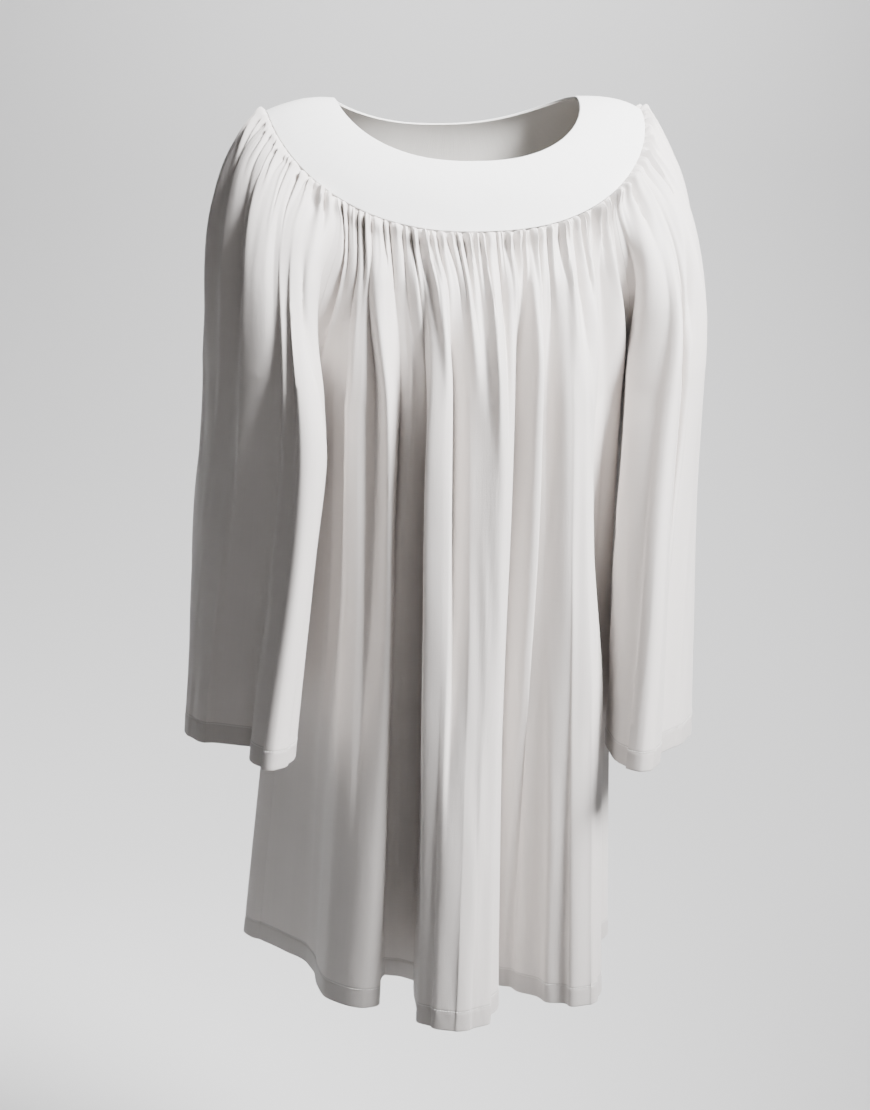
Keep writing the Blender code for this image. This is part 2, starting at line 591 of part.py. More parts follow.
class Sheet:
    """A cloth piece as one surface of rows, before it is given its thickness."""

    def __init__(self, name, rows, point, mirrored=False):
        """rows: a list of (down, places across); point: the place in space of places and their down."""
        self.name = name
        self.points = np.concatenate([point(np.array(across), np.full(len(across), down))
                                      for down, across in rows])
        starts = np.concatenate([[0], np.cumsum([len(across) for _, across in rows])])
        marks = [(across, start) for (_, across), start in zip(rows, starts)]
        self.faces = [face for pair in zip(marks, marks[1:]) for face in strip(*pair)]
        if mirrored:
            self.faces = [face[::-1] for face in self.faces]
        self.first = starts[:-1]
        self.last = starts[1:] - 1
        self.down = np.repeat([down for down, _ in rows], [len(across) for _, across in rows])
        self.places = np.concatenate([across for _, across in rows])
        self.normals = self.find_normals()

    def find_normals(self):
        corners = self.points[np.array(self.faces)]
        normals = np.zeros_like(self.points)
        for k in range(3):
            ahead = corners[:, (k + 1) % 3] - corners[:, k]
            behind = corners[:, (k + 2) % 3] - corners[:, k]
            face = np.cross(ahead, behind)
            size = np.linalg.norm(face, axis=1)
            angle = np.arctan2(size, (ahead * behind).sum(1))
            np.add.at(normals, np.array(self.faces)[:, k], face / size[:, None] * angle[:, None])
        return normals / np.linalg.norm(normals, axis=1)[:, None]

    def open_seam(self, edge):
        """Moves an edge half the seam gap into the piece, straight across the seam."""
        towards = np.zeros_like(self.points)
        corners = np.array(self.faces)
        middles = self.points[corners].mean(1)
        for k in range(3):
            np.add.at(towards, corners[:, k], middles - self.points[corners[:, k]])
        along = np.gradient(self.points[edge], axis=0)
        along /= np.linalg.norm(along, axis=1)[:, None]
        across = towards[edge]
        for direction in (along, self.normals[edge]):
            across = across - direction * (across * direction).sum(1)[:, None]
        across /= np.linalg.norm(across, axis=1)[:, None]
        self.points[edge] += across * SEAM_GAP / 2.0

    def walled(self, outside, inside):
        """The closed wall: its corners and faces, from how far it reaches to each side.

        The rim's squares are all cut from lower outside to upper inside, so sewn rims stay parallel.
        """
        count = len(self.points)
        corners = np.array(self.faces)
        sides = set()
        for a, b, c in self.faces:
            sides.update(((a, b), (b, c), (c, a)))
        rim = sorted((a, b) for a, b in sides if (b, a) not in sides)
        faces = self.faces + [tuple(face) for face in corners[:, ::-1] + count]
        for a, b in rim:
            if a < b:
                faces += [(b, a, a + count), (b, a + count, b + count)]
            else:
                faces += [(b, a, b + count), (a, a + count, b + count)]
        points = [self.points + self.normals * np.reshape(outside, (-1, 1)),
                  self.points - self.normals * np.reshape(inside, (-1, 1))]
        return np.concatenate(points), faces


def sew(*edges):
    """Gives the edges of the pieces that meet at a seam one shared set of wall directions."""
    shared = sum(sheet.normals[edge] for sheet, edge in edges)
    shared /= np.linalg.norm(shared, axis=1)[:, None]
    for sheet, edge in edges:
        sheet.normals[edge] = shared


def cloth_material(name, colour, roughness):
    material = bpy.data.materials.new(name)
    material.use_nodes = True
    shader = material.node_tree.nodes["Principled BSDF"]
    shader.inputs["Base Color"].default_value = (*colour, 1.0)
    shader.inputs["Roughness"].default_value = roughness
    shader.inputs["Metallic"].default_value = 0.0
    return material


def add_piece(sheet, outside, inside, colour, roughness=0.75):
    """Makes a sheet's wall an object of its own, in metres."""
    points, faces = sheet.walled(outside, inside)
    mesh = bpy.data.meshes.new(sheet.name)
    mesh.from_pydata((points * 0.001).tolist(), [], faces)
    mesh.shade_smooth()
    mesh.set_sharp_from_angle(angle=math.radians(50))
    mesh.materials.append(cloth_material(sheet.name + "_cloth", colour, roughness))
    piece = bpy.data.objects.new(sheet.name, mesh)
    bpy.context.collection.objects.link(piece)
    return piece


def gather_places(count, seed, per_gather):
    """Places across a piece that fall on the crests, flanks and valleys of its gathers."""
    fine = np.linspace(-1.0, 1.0, 4001)
    phase = gather_phase(fine, count, seed)
    step = 2.0 * math.pi / per_gather
    marks = np.arange(math.ceil(phase[0] / step), math.floor(phase[-1] / step) + 1) * step
    return np.interp(marks, phase, fine)


def across_row(inner, edge_cloth, edges):
    """A row's places across: the given inner ones, and a few close columns beside each sewn edge."""
    ends = 1.0 - np.array(edges) / edge_cloth
    inner = inner[np.abs(inner) < ends.min() - COLUMN_SPACE]
    return np.sort(np.concatenate([-ends, inner, ends]))


def fold_places(folds):
    """Places across a piece on every corner of its large folds, with some between them."""
    corners = folds["cloth"]
    steps = np.arange(0.0, len(corners) - 1.0, 1.0 / COLUMNS_PER_FOLD)
    return np.interp(steps, np.arange(len(corners)), corners)


def panel_rows(count, seed, folds, edge_cloth, underarm, low_rows, drop):
    """The rows of a body panel or a sleeve from the yoke seam to the hem."""
    rows = []
    fine = gather_places(count, seed, 2)
    for along in SEAM_ROWS:
        edges = EDGE_COLUMNS if along > EDGE_START else (0.0,)
        rows.append((along * underarm, across_row(fine, edge_cloth, edges)))
    turned = 1.0 - HEM_DEPTH / drop
    hem_rows = (turned - TURNED_EDGE / drop, turned, 1.0)
    for down in (*low_rows, *hem_rows):
        edges = EDGE_COLUMNS if down < underarm + EDGE_BELOW else EDGE_COLUMNS[::3]
        inner = fine if down < underarm + GATHERS_BELOW else fold_places(folds)
        rows.append((down, across_row(inner, edge_cloth, edges)))
    return rows


def yoke_places(start, end):
    """Angles along the yoke seam, two for each gather that meets it between two angles."""
    body = RAGLAN_ANGLE * gather_places(BODY_GATHERS, 0.0, 2)
    sleeve = 90.0 + (90.0 - RAGLAN_ANGLE) * gather_places(SLEEVE_GATHERS, 0.0, 2)
    round_neck = np.concatenate([sleeve - 180.0, body, sleeve, 180.0 + body, 180.0 + sleeve])
    inside = round_neck[(round_neck > start + 1.0) & (round_neck < end - 1.0)]
    return np.radians(np.concatenate([[start], np.sort(inside), [end]]))


def yoke_normal(angle):
    """The yoke's outward direction along its seam."""
    step = 0.001
    one = np.ones_like(angle)
    round_neck = yoke_point(angle + step, one) - yoke_point(angle - step, one)
    outward = yoke_point(angle, one) - yoke_point(angle, one - step)
    normal = np.cross(outward, round_neck)
    return normal / np.linalg.norm(normal, axis=1)[:, None]


def first_row(sheet):
    return np.arange(sheet.first[0], sheet.last[0] + 1)


def last_row(sheet):
    return np.arange(sheet.first[-1], sheet.last[-1] + 1)


# Clear the file's starting scene
for item in list(bpy.data.objects):
    bpy.data.objects.remove(item)

# Body panels and sleeves
body_drop = HEM_DROP - RAGLAN_DROP
front_rows = panel_rows(BODY_GATHERS, BODY_SEED, FRONT_FOLDS, BODY_EDGE_CLOTH, UNDERARM_DOWN,
                        BODY_LOW_ROWS, body_drop)
front = Sheet("front", front_rows, lambda c, d: body_point(c, d, 1))
back_rows = panel_rows(BODY_GATHERS, -BODY_SEED, BACK_FOLDS, BODY_EDGE_CLOTH, UNDERARM_DOWN,
                       BODY_LOW_ROWS, body_drop)
back = Sheet("back", back_rows, lambda c, d: body_point(c, d, -1), True)
sleeves = {}
for side, name in ((1, "sleeve_right"), (-1, "sleeve_left")):
    levels, folds, creases, cuff_drop, seed = SLEEVE_SHAPES[side]
    rows = panel_rows(SLEEVE_GATHERS, seed, folds, SLEEVE_EDGE_CLOTH, SLEEVE_UNDERARM,
                      SLEEVE_LOW_ROWS, cuff_drop)
    sleeves[side] = Sheet(name, rows, lambda c, d, side=side: sleeve_point(c, d, side), side < 0)

# Seams: armholes down to the underarm, then the body's sides and the sleeves' undersides
underarm_row = len(SEAM_ROWS) - 1
for side, sleeve in sleeves.items():
    front_edge = front.last if side > 0 else front.first
    back_edge = back.last if side > 0 else back.first
    above = slice(0, underarm_row)
    below = slice(underarm_row + 1, None)
    at = slice(underarm_row, underarm_row + 1)
    sew((front, front_edge[above]), (sleeve, sleeve.first[above]))
    sew((back, back_edge[above]), (sleeve, sleeve.last[above]))
    sew((front, front_edge[below]), (back, back_edge[below]))
    sew((sleeve, sleeve.first[below]), (sleeve, sleeve.last[below]))
    sew((front, front_edge[at]), (back, back_edge[at]), (sleeve, sleeve.first[at]),
        (sleeve, sleeve.last[at]))

# The yoke's two halves, which meet at short shoulder seams
yokes = []
for name, start, end in (("yoke_front", -90.0, 90.0), ("yoke_back", 90.0, 270.0)):
    fine = yoke_places(start, end)
    coarse = np.append(fine[:-1:4], fine[-1])
    rows = [(down, fine if down == 1.0 else coarse) for down in YOKE_ROWS]
    yokes.append(Sheet(name, rows, yoke_point))
    yokes[-1].normals[last_row(yokes[-1])] = yoke_normal(fine)
yoke_front, yoke_back = yokes

# The yoke's lining: one ring with a seam at the viewer's left, made from the yoke's own columns. Its
# last row lies on the yoke's last strip and stops short of the seam.
columns = np.union1d(*(yoke.places[yoke.first[0]:yoke.last[0] + 1] for yoke in yokes))
lining = Sheet("yoke_lining", [(down, columns) for down in YOKE_ROWS], yoke_point)
before = lining.points[lining.first[-2]:lining.last[-2] + 1]
lining.points[last_row(lining)] -= (1.0 - LINING_END) * (lining.points[last_row(lining)] - before)
sew((yoke_front, yoke_front.last), (yoke_back, yoke_back.first))
sew((yoke_front, yoke_front.first), (yoke_back, yoke_back.last))
sew((lining, lining.first), (lining, lining.last))

# The top edges of the gathered pieces face the yoke squarely
body_angle, sleeve_angle = RAGLAN_ANGLE, 90.0 - RAGLAN_ANGLE
for sheet, middle, half in ((front, 0.0, body_angle), (back, 180.0, -body_angle),
                            (sleeves[1], 90.0, sleeve_angle), (sleeves[-1], -90.0, -sleeve_angle)):
    top = first_row(sheet)
    sheet.normals[top] = yoke_normal(np.radians(middle + half * sheet.places[top]))

for sheet in (front, back, *sleeves.values(), *yokes, lining):
    for edge in (sheet.first, sheet.last):
        sheet.open_seam(edge)
for sheet in (front, back, *sleeves.values()):
    sheet.open_seam(first_row(sheet))
for sheet in yokes:
    sheet.open_seam(last_row(sheet))

# The pieces' walls; a turned hem adds a second layer inside
WHITE = (0.80, 0.78, 0.75)
YOKE_WHITE = (0.86, 0.85, 0.83)
LINING_WHITE = (0.74, 0.71, 0.67)
for sheet, drop in ((front, body_drop), (back, body_drop),
                    (sleeves[1], CUFF_DROP_RIGHT), (sleeves[-1], CUFF_DROP_LEFT)):
    turned = sheet.down > 1.0 - (HEM_DEPTH + TURNED_EDGE / 2.0) / drop
    add_piece(sheet, WALL / 2.0, WALL / 2.0 + HEM_EXTRA * turned, WHITE)
for sheet in yokes:
    add_piece(sheet, YOKE_WALL / 2.0, YOKE_WALL / 2.0, YOKE_WHITE)
lining_top = -YOKE_WALL / 2.0 - SEAM_GAP
add_piece(lining, lining_top, LINING_WALL - lining_top, LINING_WHITE)
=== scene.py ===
"""A white gathered surplice, hollow as it is worn, with its floor, light and camera.

The garment's sizes are in millimetres, as a maker gives them, and become metres where a mesh is made.
+Z is up, the front faces -Y, and +X is the viewer's right.
"""

import math
from functools import partial

import bpy
import numpy as np
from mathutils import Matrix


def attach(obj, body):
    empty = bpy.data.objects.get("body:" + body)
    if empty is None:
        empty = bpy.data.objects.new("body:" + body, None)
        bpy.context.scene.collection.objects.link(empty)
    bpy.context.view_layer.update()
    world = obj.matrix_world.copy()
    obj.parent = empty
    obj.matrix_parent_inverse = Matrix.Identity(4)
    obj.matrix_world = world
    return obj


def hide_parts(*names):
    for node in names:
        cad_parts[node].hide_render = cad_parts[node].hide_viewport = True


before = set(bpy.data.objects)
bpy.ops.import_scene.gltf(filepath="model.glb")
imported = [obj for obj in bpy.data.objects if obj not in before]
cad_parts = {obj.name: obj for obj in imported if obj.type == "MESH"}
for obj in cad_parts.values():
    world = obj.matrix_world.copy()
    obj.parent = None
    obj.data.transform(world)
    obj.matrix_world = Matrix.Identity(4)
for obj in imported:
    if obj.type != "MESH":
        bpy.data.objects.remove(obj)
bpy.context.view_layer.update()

# The yoke
# Two curved halves of fine white polycotton, doubled and pressed flat, joined by short shoulder seams.
# Its neck edge is turned over, and everything else hangs from its outer edge.

# Its neck edge, and its outer edge where the gathered pieces are sewn on. Each drop is from the level of
# the neck's two sides, where Z is 0.
NECK_HALF_WIDTH = 118.5
NECK_SIDE_Y = 12.0
NECK_FRONT_Y = -58.0
NECK_BACK_Y = 76.0
NECK_FRONT_DROP = 56.0
NECK_BACK_DROP = 26.0
YOKE_HALF_WIDTH = 183.5
YOKE_FRONT_Y = -84.0
YOKE_BACK_Y = 102.0
YOKE_SIDE_DROP = 12.0
YOKE_FRONT_DROP = 119.0
YOKE_BACK_DROP = 94.0

# The squareness of both edges, how sharply the yoke falls towards its front and its back, its crown, the
# slight waves and ripples of pressed cloth, and how far outward and upward all three rise
YOKE_ROUND = 2.4
YOKE_FRONT_FALL = 1.4
YOKE_BACK_FALL = 2.6
YOKE_CROWN = 5.0
YOKE_WAVE = 0.5
YOKE_RIPPLE = 0.25
YOKE_LEAN = 0.5
YOKE_LIFT = 0.85

# Its wall, its depth from neck to seam, its mean radius, the run of one degree of it, the steps of each
# half's mesh, how round its two edges are, the dip at the shoulder seams, the gap at every seam, the
# angle from which a mesh's edge is sharp, a millimetre in metres, and the yoke's colour
YOKE_WALL = 1.6
YOKE_DEPTH = 70.0
YOKE_RADIUS = 150.0
YOKE_DEGREE = 2.6
YOKE_STEPS = 240
NECK_EDGE_ROUND = 1.2
YOKE_EDGE_ROUND = 1.0
SHOULDER_DIP = 0.45
SHOULDER_DIP_WIDTH = 1.2
SEAM_GAP = 0.3
SHARP_ANGLE = 60.0
MM = 0.001
YOKE_WHITE = (0.86, 0.855, 0.84)

# The cloth's weave: the pitch of its threads, then the width and length of its slubs, of its soft
# dents and of its streaks, how high a thread and a dent stand, and how far its roughness swings
THREAD_PITCH = 0.5
SLUB = (1.2, 40.0)
DENT = (26.0, 70.0)
STREAK = (3.5, 260.0)
THREAD_HEIGHT = 0.02
DENT_HEIGHT = 0.5
ROUGH_SWING = 0.06


def ease(x):
    """A smooth step from 0 to 1."""
    x = np.clip(x, 0.0, 1.0)
    return x * x * (3.0 - 2.0 * x)


def oval(angle, across, along, power):
    """A rounded plan: the point and the outward direction at an angle from -Y, towards +X."""
    sine, cosine = np.sin(angle), np.cos(angle)
    size = (np.abs(sine) ** power + np.abs(cosine) ** power) ** (-1.0 / power)
    x, y = across * size * sine, -along * size * cosine
    out_x = np.sign(sine) * np.abs(size * sine) ** (power - 1.0) / across
    out_y = -np.sign(cosine) * np.abs(size * cosine) ** (power - 1.0) / along
    length = np.hypot(out_x, out_y)
    return x, y, out_x / length, out_y / length


def neck_ring(angle, half_width, front, back, front_drop, back_drop, side_drop):
    """A ring of the yoke, at an angle from the front centre towards the viewer's right."""
    facing = np.cos(angle)
    along = np.where(facing > 0, NECK_SIDE_Y - front, back - NECK_SIDE_Y)
    x, y, out_x, out_y = oval(angle, half_width, along, YOKE_ROUND)
    forward = np.abs(y) / along
    drop = np.where(facing > 0, front_drop, back_drop) - side_drop
    power = np.where(facing > 0, YOKE_FRONT_FALL, YOKE_BACK_FALL)
    return np.stack([x, y + NECK_SIDE_Y, -side_drop - drop * forward ** power], -1)


def neck_edge(angle):
    return neck_ring(angle, NECK_HALF_WIDTH, NECK_FRONT_Y, NECK_BACK_Y,
                     NECK_FRONT_DROP, NECK_BACK_DROP, 0.0)


def yoke_seam(angle):
    return neck_ring(angle, YOKE_HALF_WIDTH, YOKE_FRONT_Y, YOKE_BACK_Y,
                     YOKE_FRONT_DROP, YOKE_BACK_DROP, YOKE_SIDE_DROP)


def yoke_point(angle, down):
    """The yoke between its neck edge (down 0) and its seam (down 1), lightly crowned."""
    inner, outer = neck_edge(angle), yoke_seam(angle)
    point = inner + (outer - inner) * down[..., None]
    bow = np.sin(math.pi * down)
    rise = YOKE_CROWN * 4.0 * down * (1.0 - down)
    rise = rise + YOKE_WAVE * np.sin(3.0 * angle + 4.0 * down) * bow
    rise = rise + YOKE_RIPPLE * np.sin(11.0 * angle - 5.0 * down + 1.0) * ease(down) * bow
    outward = np.stack([YOKE_LEAN * np.sin(angle), -YOKE_LEAN * np.cos(angle),
                        np.full_like(angle, YOKE_LIFT)], -1)
    return point + outward * rise[..., None]


def strip(first, second):
    """Faces between two rows of mesh points, given as (places across, first index)."""
    (a, a0), (b, b0) = first, second
    if len(a) == len(b):
        return [(a0 + i, b0 + i, b0 + i + 1, a0 + i + 1) for i in range(len(a) - 1)]
    faces = []
    i = j = 0
    while i < len(a) - 1 or j < len(b) - 1:
        step_first = j == len(b) - 1 or (i < len(a) - 1 and a[i] + a[i + 1] <= b[j] + b[j + 1])
        if step_first:
            faces.append((a0 + i, b0 + j, a0 + i + 1))
            i += 1
        else:
            faces.append((a0 + i, b0 + j, b0 + j + 1))
            j += 1
    return faces


class Cloth:
    """A cut piece as one surface of rows, from its top seam to its hem."""

    def __init__(self, rows, point, mirrored=False):
        """rows: a list of (down, places across); point: the place in space of places and their down."""
        self.places = np.concatenate([across for _, across in rows])
        self.down = np.repeat([down for down, _ in rows], [len(across) for _, across in rows])
        self.points = point(self.places, self.down)
        starts = np.concatenate([[0], np.cumsum([len(across) for _, across in rows])])
        marks = [(across, start) for (_, across), start in zip(rows, starts)]
        self.faces = [face for pair in zip(marks, marks[1:]) for face in strip(*pair)]
        if mirrored:
            self.faces = [face[::-1] for face in self.faces]
        self.first = starts[:-1]
        self.last = starts[1:] - 1
        self.triangles = np.array([tri for face in self.faces
                                   for tri in ((face[0], face[1], face[2]), (face[0], *face[-2:]))
                                   if len(set(tri)) == 3])
        corners = self.points[self.triangles]
        flat = np.cross(corners[:, 1] - corners[:, 0], corners[:, 2] - corners[:, 0])
        self.normals = np.zeros_like(self.points)
        for k in range(3):
            np.add.at(self.normals, self.triangles[:, k], flat)
        self.normals /= np.linalg.norm(self.normals, axis=1)[:, None]

    def open_seam(self, edge):
        """Moves an edge half the seam gap into the piece, straight across the seam."""
        towards = np.zeros_like(self.points)
        middles = self.points[self.triangles].mean(1)
        for k in range(3):
            np.add.at(towards, self.triangles[:, k], middles - self.points[self.triangles[:, k]])
        along = np.gradient(self.points[edge], axis=0)
        along /= np.linalg.norm(along, axis=1)[:, None]
        across = towards[edge]
        for direction in (along, self.normals[edge]):
            across = across - direction * (across * direction).sum(1)[:, None]
        across /= np.linalg.norm(across, axis=1)[:, None]
        self.points[edge] += across * SEAM_GAP / 2.0

    def row(self, number):
        return np.arange(self.first[number], self.last[number] + 1)

    def make(self, name, outside, inside, across, along, material):
        """Makes the piece's closed wall, with a map of its threads: across and along are in mm."""
        count = len(self.points)
        edges = {(face[i], face[(i + 1) % len(face)]) for face in self.faces for i in range(len(face))}
        rim = [(a, b) for a, b in edges if (b, a) not in edges]
        faces = self.faces + [tuple(i + count for i in face[::-1]) for face in self.faces]
        faces += [(b, a, a + count, b + count) for a, b in sorted(rim)]
        points = np.concatenate([self.points + self.normals * np.reshape(outside, (-1, 1)),
                                 self.points - self.normals * np.reshape(inside, (-1, 1))])
        mesh = bpy.data.meshes.new(name)
        mesh.from_pydata((points * MM).tolist(), [], faces)
        mesh.shade_smooth()
        mesh.set_sharp_from_angle(angle=math.radians(SHARP_ANGLE))
        threads = np.stack([np.broadcast_to(across, count), np.broadcast_to(along, count)], -1)
        threads = np.tile(threads, (2, 1))
        corner = np.empty(len(mesh.loops), np.int32)
        mesh.loops.foreach_get("vertex_index", corner)
        mesh.uv_layers.new(name="threads", do_init=False)
        mesh.uv_layers["threads"].uv.foreach_set("vector", threads[corner].astype(np.float32).ravel())
        mesh.materials.append(material)
        piece = bpy.data.objects.new(name, mesh)
        bpy.context.scene.collection.objects.link(piece)
        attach(piece, "root")
        return piece


class Wire:
    """A socket in a material. Sums with it add Math nodes, and its node method adds any other node."""

    def __init__(self, tree, socket=None):
        self.tree, self.socket = tree, socket

    def node(self, kind, settings, inputs, output=0):
        made = self.tree.nodes.new(kind)
        for name, value in settings.items():
            setattr(made, name, value)
        for name, value in inputs.items():
            if isinstance(value, Wire):
                self.tree.links.new(value.socket, made.inputs[name])
            else:
                made.inputs[name].default_value = value
        return Wire(self.tree, made.outputs[output])

    def math(self, operation, first, second=0.0):
        return self.node("ShaderNodeMath", {"operation": operation}, {0: first, 1: second})

    def __add__(self, other):
        return self.math("ADD", self, other)

    def __sub__(self, other):
        return self.math("SUBTRACT", self, other)

    def __rsub__(self, other):
        return self.math("SUBTRACT", other, self)

    def __mul__(self, other):
        return self.math("MULTIPLY", self, other)

    def __truediv__(self, other):
        return self.math("DIVIDE", self, other)

    __radd__ = __add__
    __rmul__ = __mul__

    def sine(self):
        return self.math("SINE", self)


def woven(name, colour, roughness, sheen, slub, hem_shade=None):
    """Plain-weave cloth: crossed threads, uneven slubs, and a soft handle with a slight sheen.

    The last argument gives where along the piece its turned hem begins, and the share of the colour kept
    past
    it: painted shade on the doubled hem, since less light shines through two layers than through one.
    """
    material = bpy.data.materials.new(name)
    material.use_nodes = True
    tree = material.node_tree
    shader = tree.nodes["Principled BSDF"]
    start = Wire(tree)
    place = start.node("ShaderNodeUVMap", {"uv_map": "threads"}, {})
    across = start.node("ShaderNodeSeparateXYZ", {}, {0: place}, 0)
    along = start.node("ShaderNodeSeparateXYZ", {}, {0: place}, 1)

    def patches(width, length, layer, detail):
        """Uneven patches of a width and a length. Each layer number gives them another pattern."""
        spot = start.node("ShaderNodeCombineXYZ", {}, {0: across / width, 1: along / length, 2: layer})
        return start.node("ShaderNodeTexNoise", {}, {"Vector": spot, "Scale": 1.0, "Detail": detail})

    turn = math.pi / THREAD_PITCH
    weave = (across * turn).sine() * (along * turn).sine()
    threads = patches(*SLUB, 0.0, 2.0) + patches(*SLUB[::-1], 7.0, 2.0)
    dents = patches(*DENT, 3.0, 3.0)
    streaks = patches(*STREAK, 11.0, 3.0)
    height = weave * THREAD_HEIGHT + threads * slub + dents * DENT_HEIGHT
    bump = start.node("ShaderNodeBump", {}, {"Strength": 1.0, "Distance": MM, "Height": height})
    shade = 0.93 + threads * 0.025 + dents * 0.03 + streaks * 0.05
    # Painted shade on the turned hem: the colour darkens past where the hem begins, as less light shines
    # through two layers than one
    if hem_shade:
        begins, share = hem_shade
        soft = 0.4
        hem_shade_mask = start.node("ShaderNodeMapRange", {"interpolation_type": "SMOOTHSTEP"},
                             {0: along, 1: begins - soft, 2: begins + soft})
        shade = shade * (1.0 - hem_shade_mask * (1.0 - share))
    tinted = start.node("ShaderNodeVectorMath", {"operation": "SCALE"}, {0: colour, "Scale": shade})
    rough = roughness - ROUGH_SWING + threads * ROUGH_SWING
    tree.links.new(bump.socket, shader.inputs["Normal"])
    tree.links.new(tinted.socket, shader.inputs["Base Color"])
    tree.links.new(rough.socket, shader.inputs["Roughness"])
    shader.inputs["Sheen Weight"].default_value = sheen
    shader.inputs["Sheen Roughness"].default_value = 0.45
    shader.inputs["Specular IOR Level"].default_value = 0.35
    return material


def rounded(distance, reach):
    """The height of a quarter-round edge, from 0 at the edge to 1 at its reach."""
    share = np.clip(1.0 - distance / reach, 0.0, 1.0)
    return np.sqrt(1.0 - share * share)


def yoke_normal(angle):
    """The yoke's outward direction along its seam."""
    step = 0.001
    one = np.ones_like(angle)
    round_neck = yoke_point(angle + step, one) - yoke_point(angle - step, one)
    outward = yoke_point(angle, one) - yoke_point(angle, one - step)
    normal = np.cross(outward, round_neck)
    return normal / np.linalg.norm(normal, axis=1)[:, None]


yoke_cloth = woven("pressed_polycotton", YOKE_WHITE, roughness=0.62, sheen=0.15, slub=0.05)
neck_rows = np.concatenate([[0.0, 0.006, 0.014, 0.026], np.linspace(0.04, 0.96, 30),
                            [0.974, 0.984, 0.991, 0.996, 1.0]])
yoke_rise = 0.5 * YOKE_WALL
for name, node, start in (("yoke_front_half", "yoke_front", -90.0), ("yoke_back_half", "yoke_back", 90.0)):
    round_neck = np.radians(np.linspace(start, start + 180.0, YOKE_STEPS))
    half = Cloth([(down, round_neck) for down in neck_rows], yoke_point)
    seam = half.row(-1)
    half.normals[seam] = yoke_normal(half.places[seam])
    for edge in (half.first, half.last, seam):
        half.open_seam(edge)
    from_neck = half.down * YOKE_DEPTH
    to_seam = (1.0 - half.down) * YOKE_DEPTH
    edge_round = rounded(from_neck, NECK_EDGE_ROUND) * rounded(to_seam, YOKE_EDGE_ROUND)
    outside = yoke_rise * (0.2 + 0.8 * edge_round)
    from_shoulder = np.minimum(half.places - np.radians(start), np.radians(start + 180.0) - half.places)
    outside = outside - SHOULDER_DIP * np.exp(-from_shoulder * YOKE_RADIUS / SHOULDER_DIP_WIDTH)
    inside = yoke_rise * (0.5 + 0.5 * rounded(from_neck, NECK_EDGE_ROUND))
    around = np.degrees(half.places) * YOKE_DEGREE
    piece = half.make(name, outside, inside, around, from_neck, yoke_cloth)
    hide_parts(node)

# The yoke's lining
# A second layer of the same cloth, seamed to the yoke at the neck and turned in, so that it shows
# inside the back of the neck. It is unpressed and a little greyer.
LINING_WALL = 1.1
LINING_END = 0.97
LINING_RIPPLE = 0.15
LINING_WHITE = (0.72, 0.70, 0.66)

lining_cloth = woven("lining_polycotton", LINING_WHITE, roughness=0.8, sheen=0.1, slub=0.08)
round_neck = np.radians(np.linspace(-90.0, 270.0, 2 * YOKE_STEPS))
lining = Cloth([(down, round_neck) for down in neck_rows * LINING_END], yoke_point)
for edge in (lining.first, lining.last):
    lining.open_seam(edge)
lining_top = -YOKE_WALL / 2.0 - SEAM_GAP
from_neck = lining.down * YOKE_DEPTH
ripple = LINING_RIPPLE * np.sin(9.0 * lining.places + 1.3) * np.sin(math.pi * lining.down)
around = np.degrees(lining.places) * YOKE_DEGREE
piece = lining.make("yoke_inner", lining_top, LINING_WALL - lining_top + ripple, around, from_neck,
                    lining_cloth)
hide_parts("yoke_lining")

# The body: front and back panels
# Two wide lengths of the same cloth, gathered into the yoke seam and falling in deep folds to a hem
# that is turned up once and stitched. The armhole edges above are sewn to the sleeves.

# The cloth's wall, the depth of the hem, and the drops of the hem and of the armholes' upper ends, which
# meet the yoke at an angle from its front and back centres. The underarm is a share of the way down, and
# the armhole seam lies in a crease of a radius, which it reaches within a share of its length.
WALL = 0.8
HEM_DEPTH = 22.0
HEM_DROP = 882.0
RAGLAN_DROP = 84.0
RAGLAN_ANGLE = 43.0
UNDERARM_DOWN = 0.245
CREASE_RADIUS = 8.0
CREASE_START = 0.4

# The gathers across each panel, how deep and how long they are, where the last ends and how soft their
# valleys are, the puckers at the seam, the roll of cloth below it, and the pipes that gathers run into
BODY_GATHERS = 34
GATHER_DEPTH = 5.2
GATHER_LENGTH = 78.0
GATHER_END = 190.0
GATHER_VALLEY = 0.004
PUCKER_DEPTH = 1.8
PUCKER_LENGTH = 19.0
ROLL_DOWN = 7.0
ROLL_WIDTH = 6.0
PIPE_DEPTH = 6.0
PIPE_START = 0.09
PIPE_FADE = 0.12

# How near the sewn edges pipes and creases die out, how the chest slopes below the yoke, how late the
# middle opens, how far round a panel hangs and flares, and how its large folds grow on the way down
QUIET_EDGE = 0.04
CREASE_EDGE = 0.03
CHEST_REACH = 60.0
CHEST_SLOPE = 0.45
FALL_REACH = 1.7
BODY_SPREAD = 47.0
BODY_FLARE = 4.0
BODY_GROWTH = 0.8

# Half the panel's width as it lies flat, as it hangs, and as the mesh's edge columns count it
BODY_FLAT_HALF = 480.0
BODY_HALF_CLOTH = 260.0
BODY_EDGE_CLOTH = 630.0
# The body's and sleeves' cloth colour, darker than the yoke's white: partly because the yoke is doubled
# and pressed, and partly as painted shade for the body's darker tone under the light
WHITE = (0.715, 0.677, 0.65)


def table(columns, rows):
    """Returns a dict of arrays, one for each named column."""
    return dict(zip(columns.split(), np.array(rows, float).T))


# The body's plan at each level: its half width and middle, the Y of its front, back and sides, and its
# squareness
BODY = table("down half_width middle front back side round", [
    (0.00, 183.5, 0, -84, 102, 12, 2.4),
    (0.08, 166, 0, -113, 124, 12, 2.4),
    (0.245, 148, 0, -134, 146, 16, 2.6),
    (0.45, 152, -2, -132, 172, 46, 2.5),
    (0.70, 166, -5, -122, 200, 88, 2.3),
    (1.00, 181, -8, -105, 228, 130, 2.2),
])

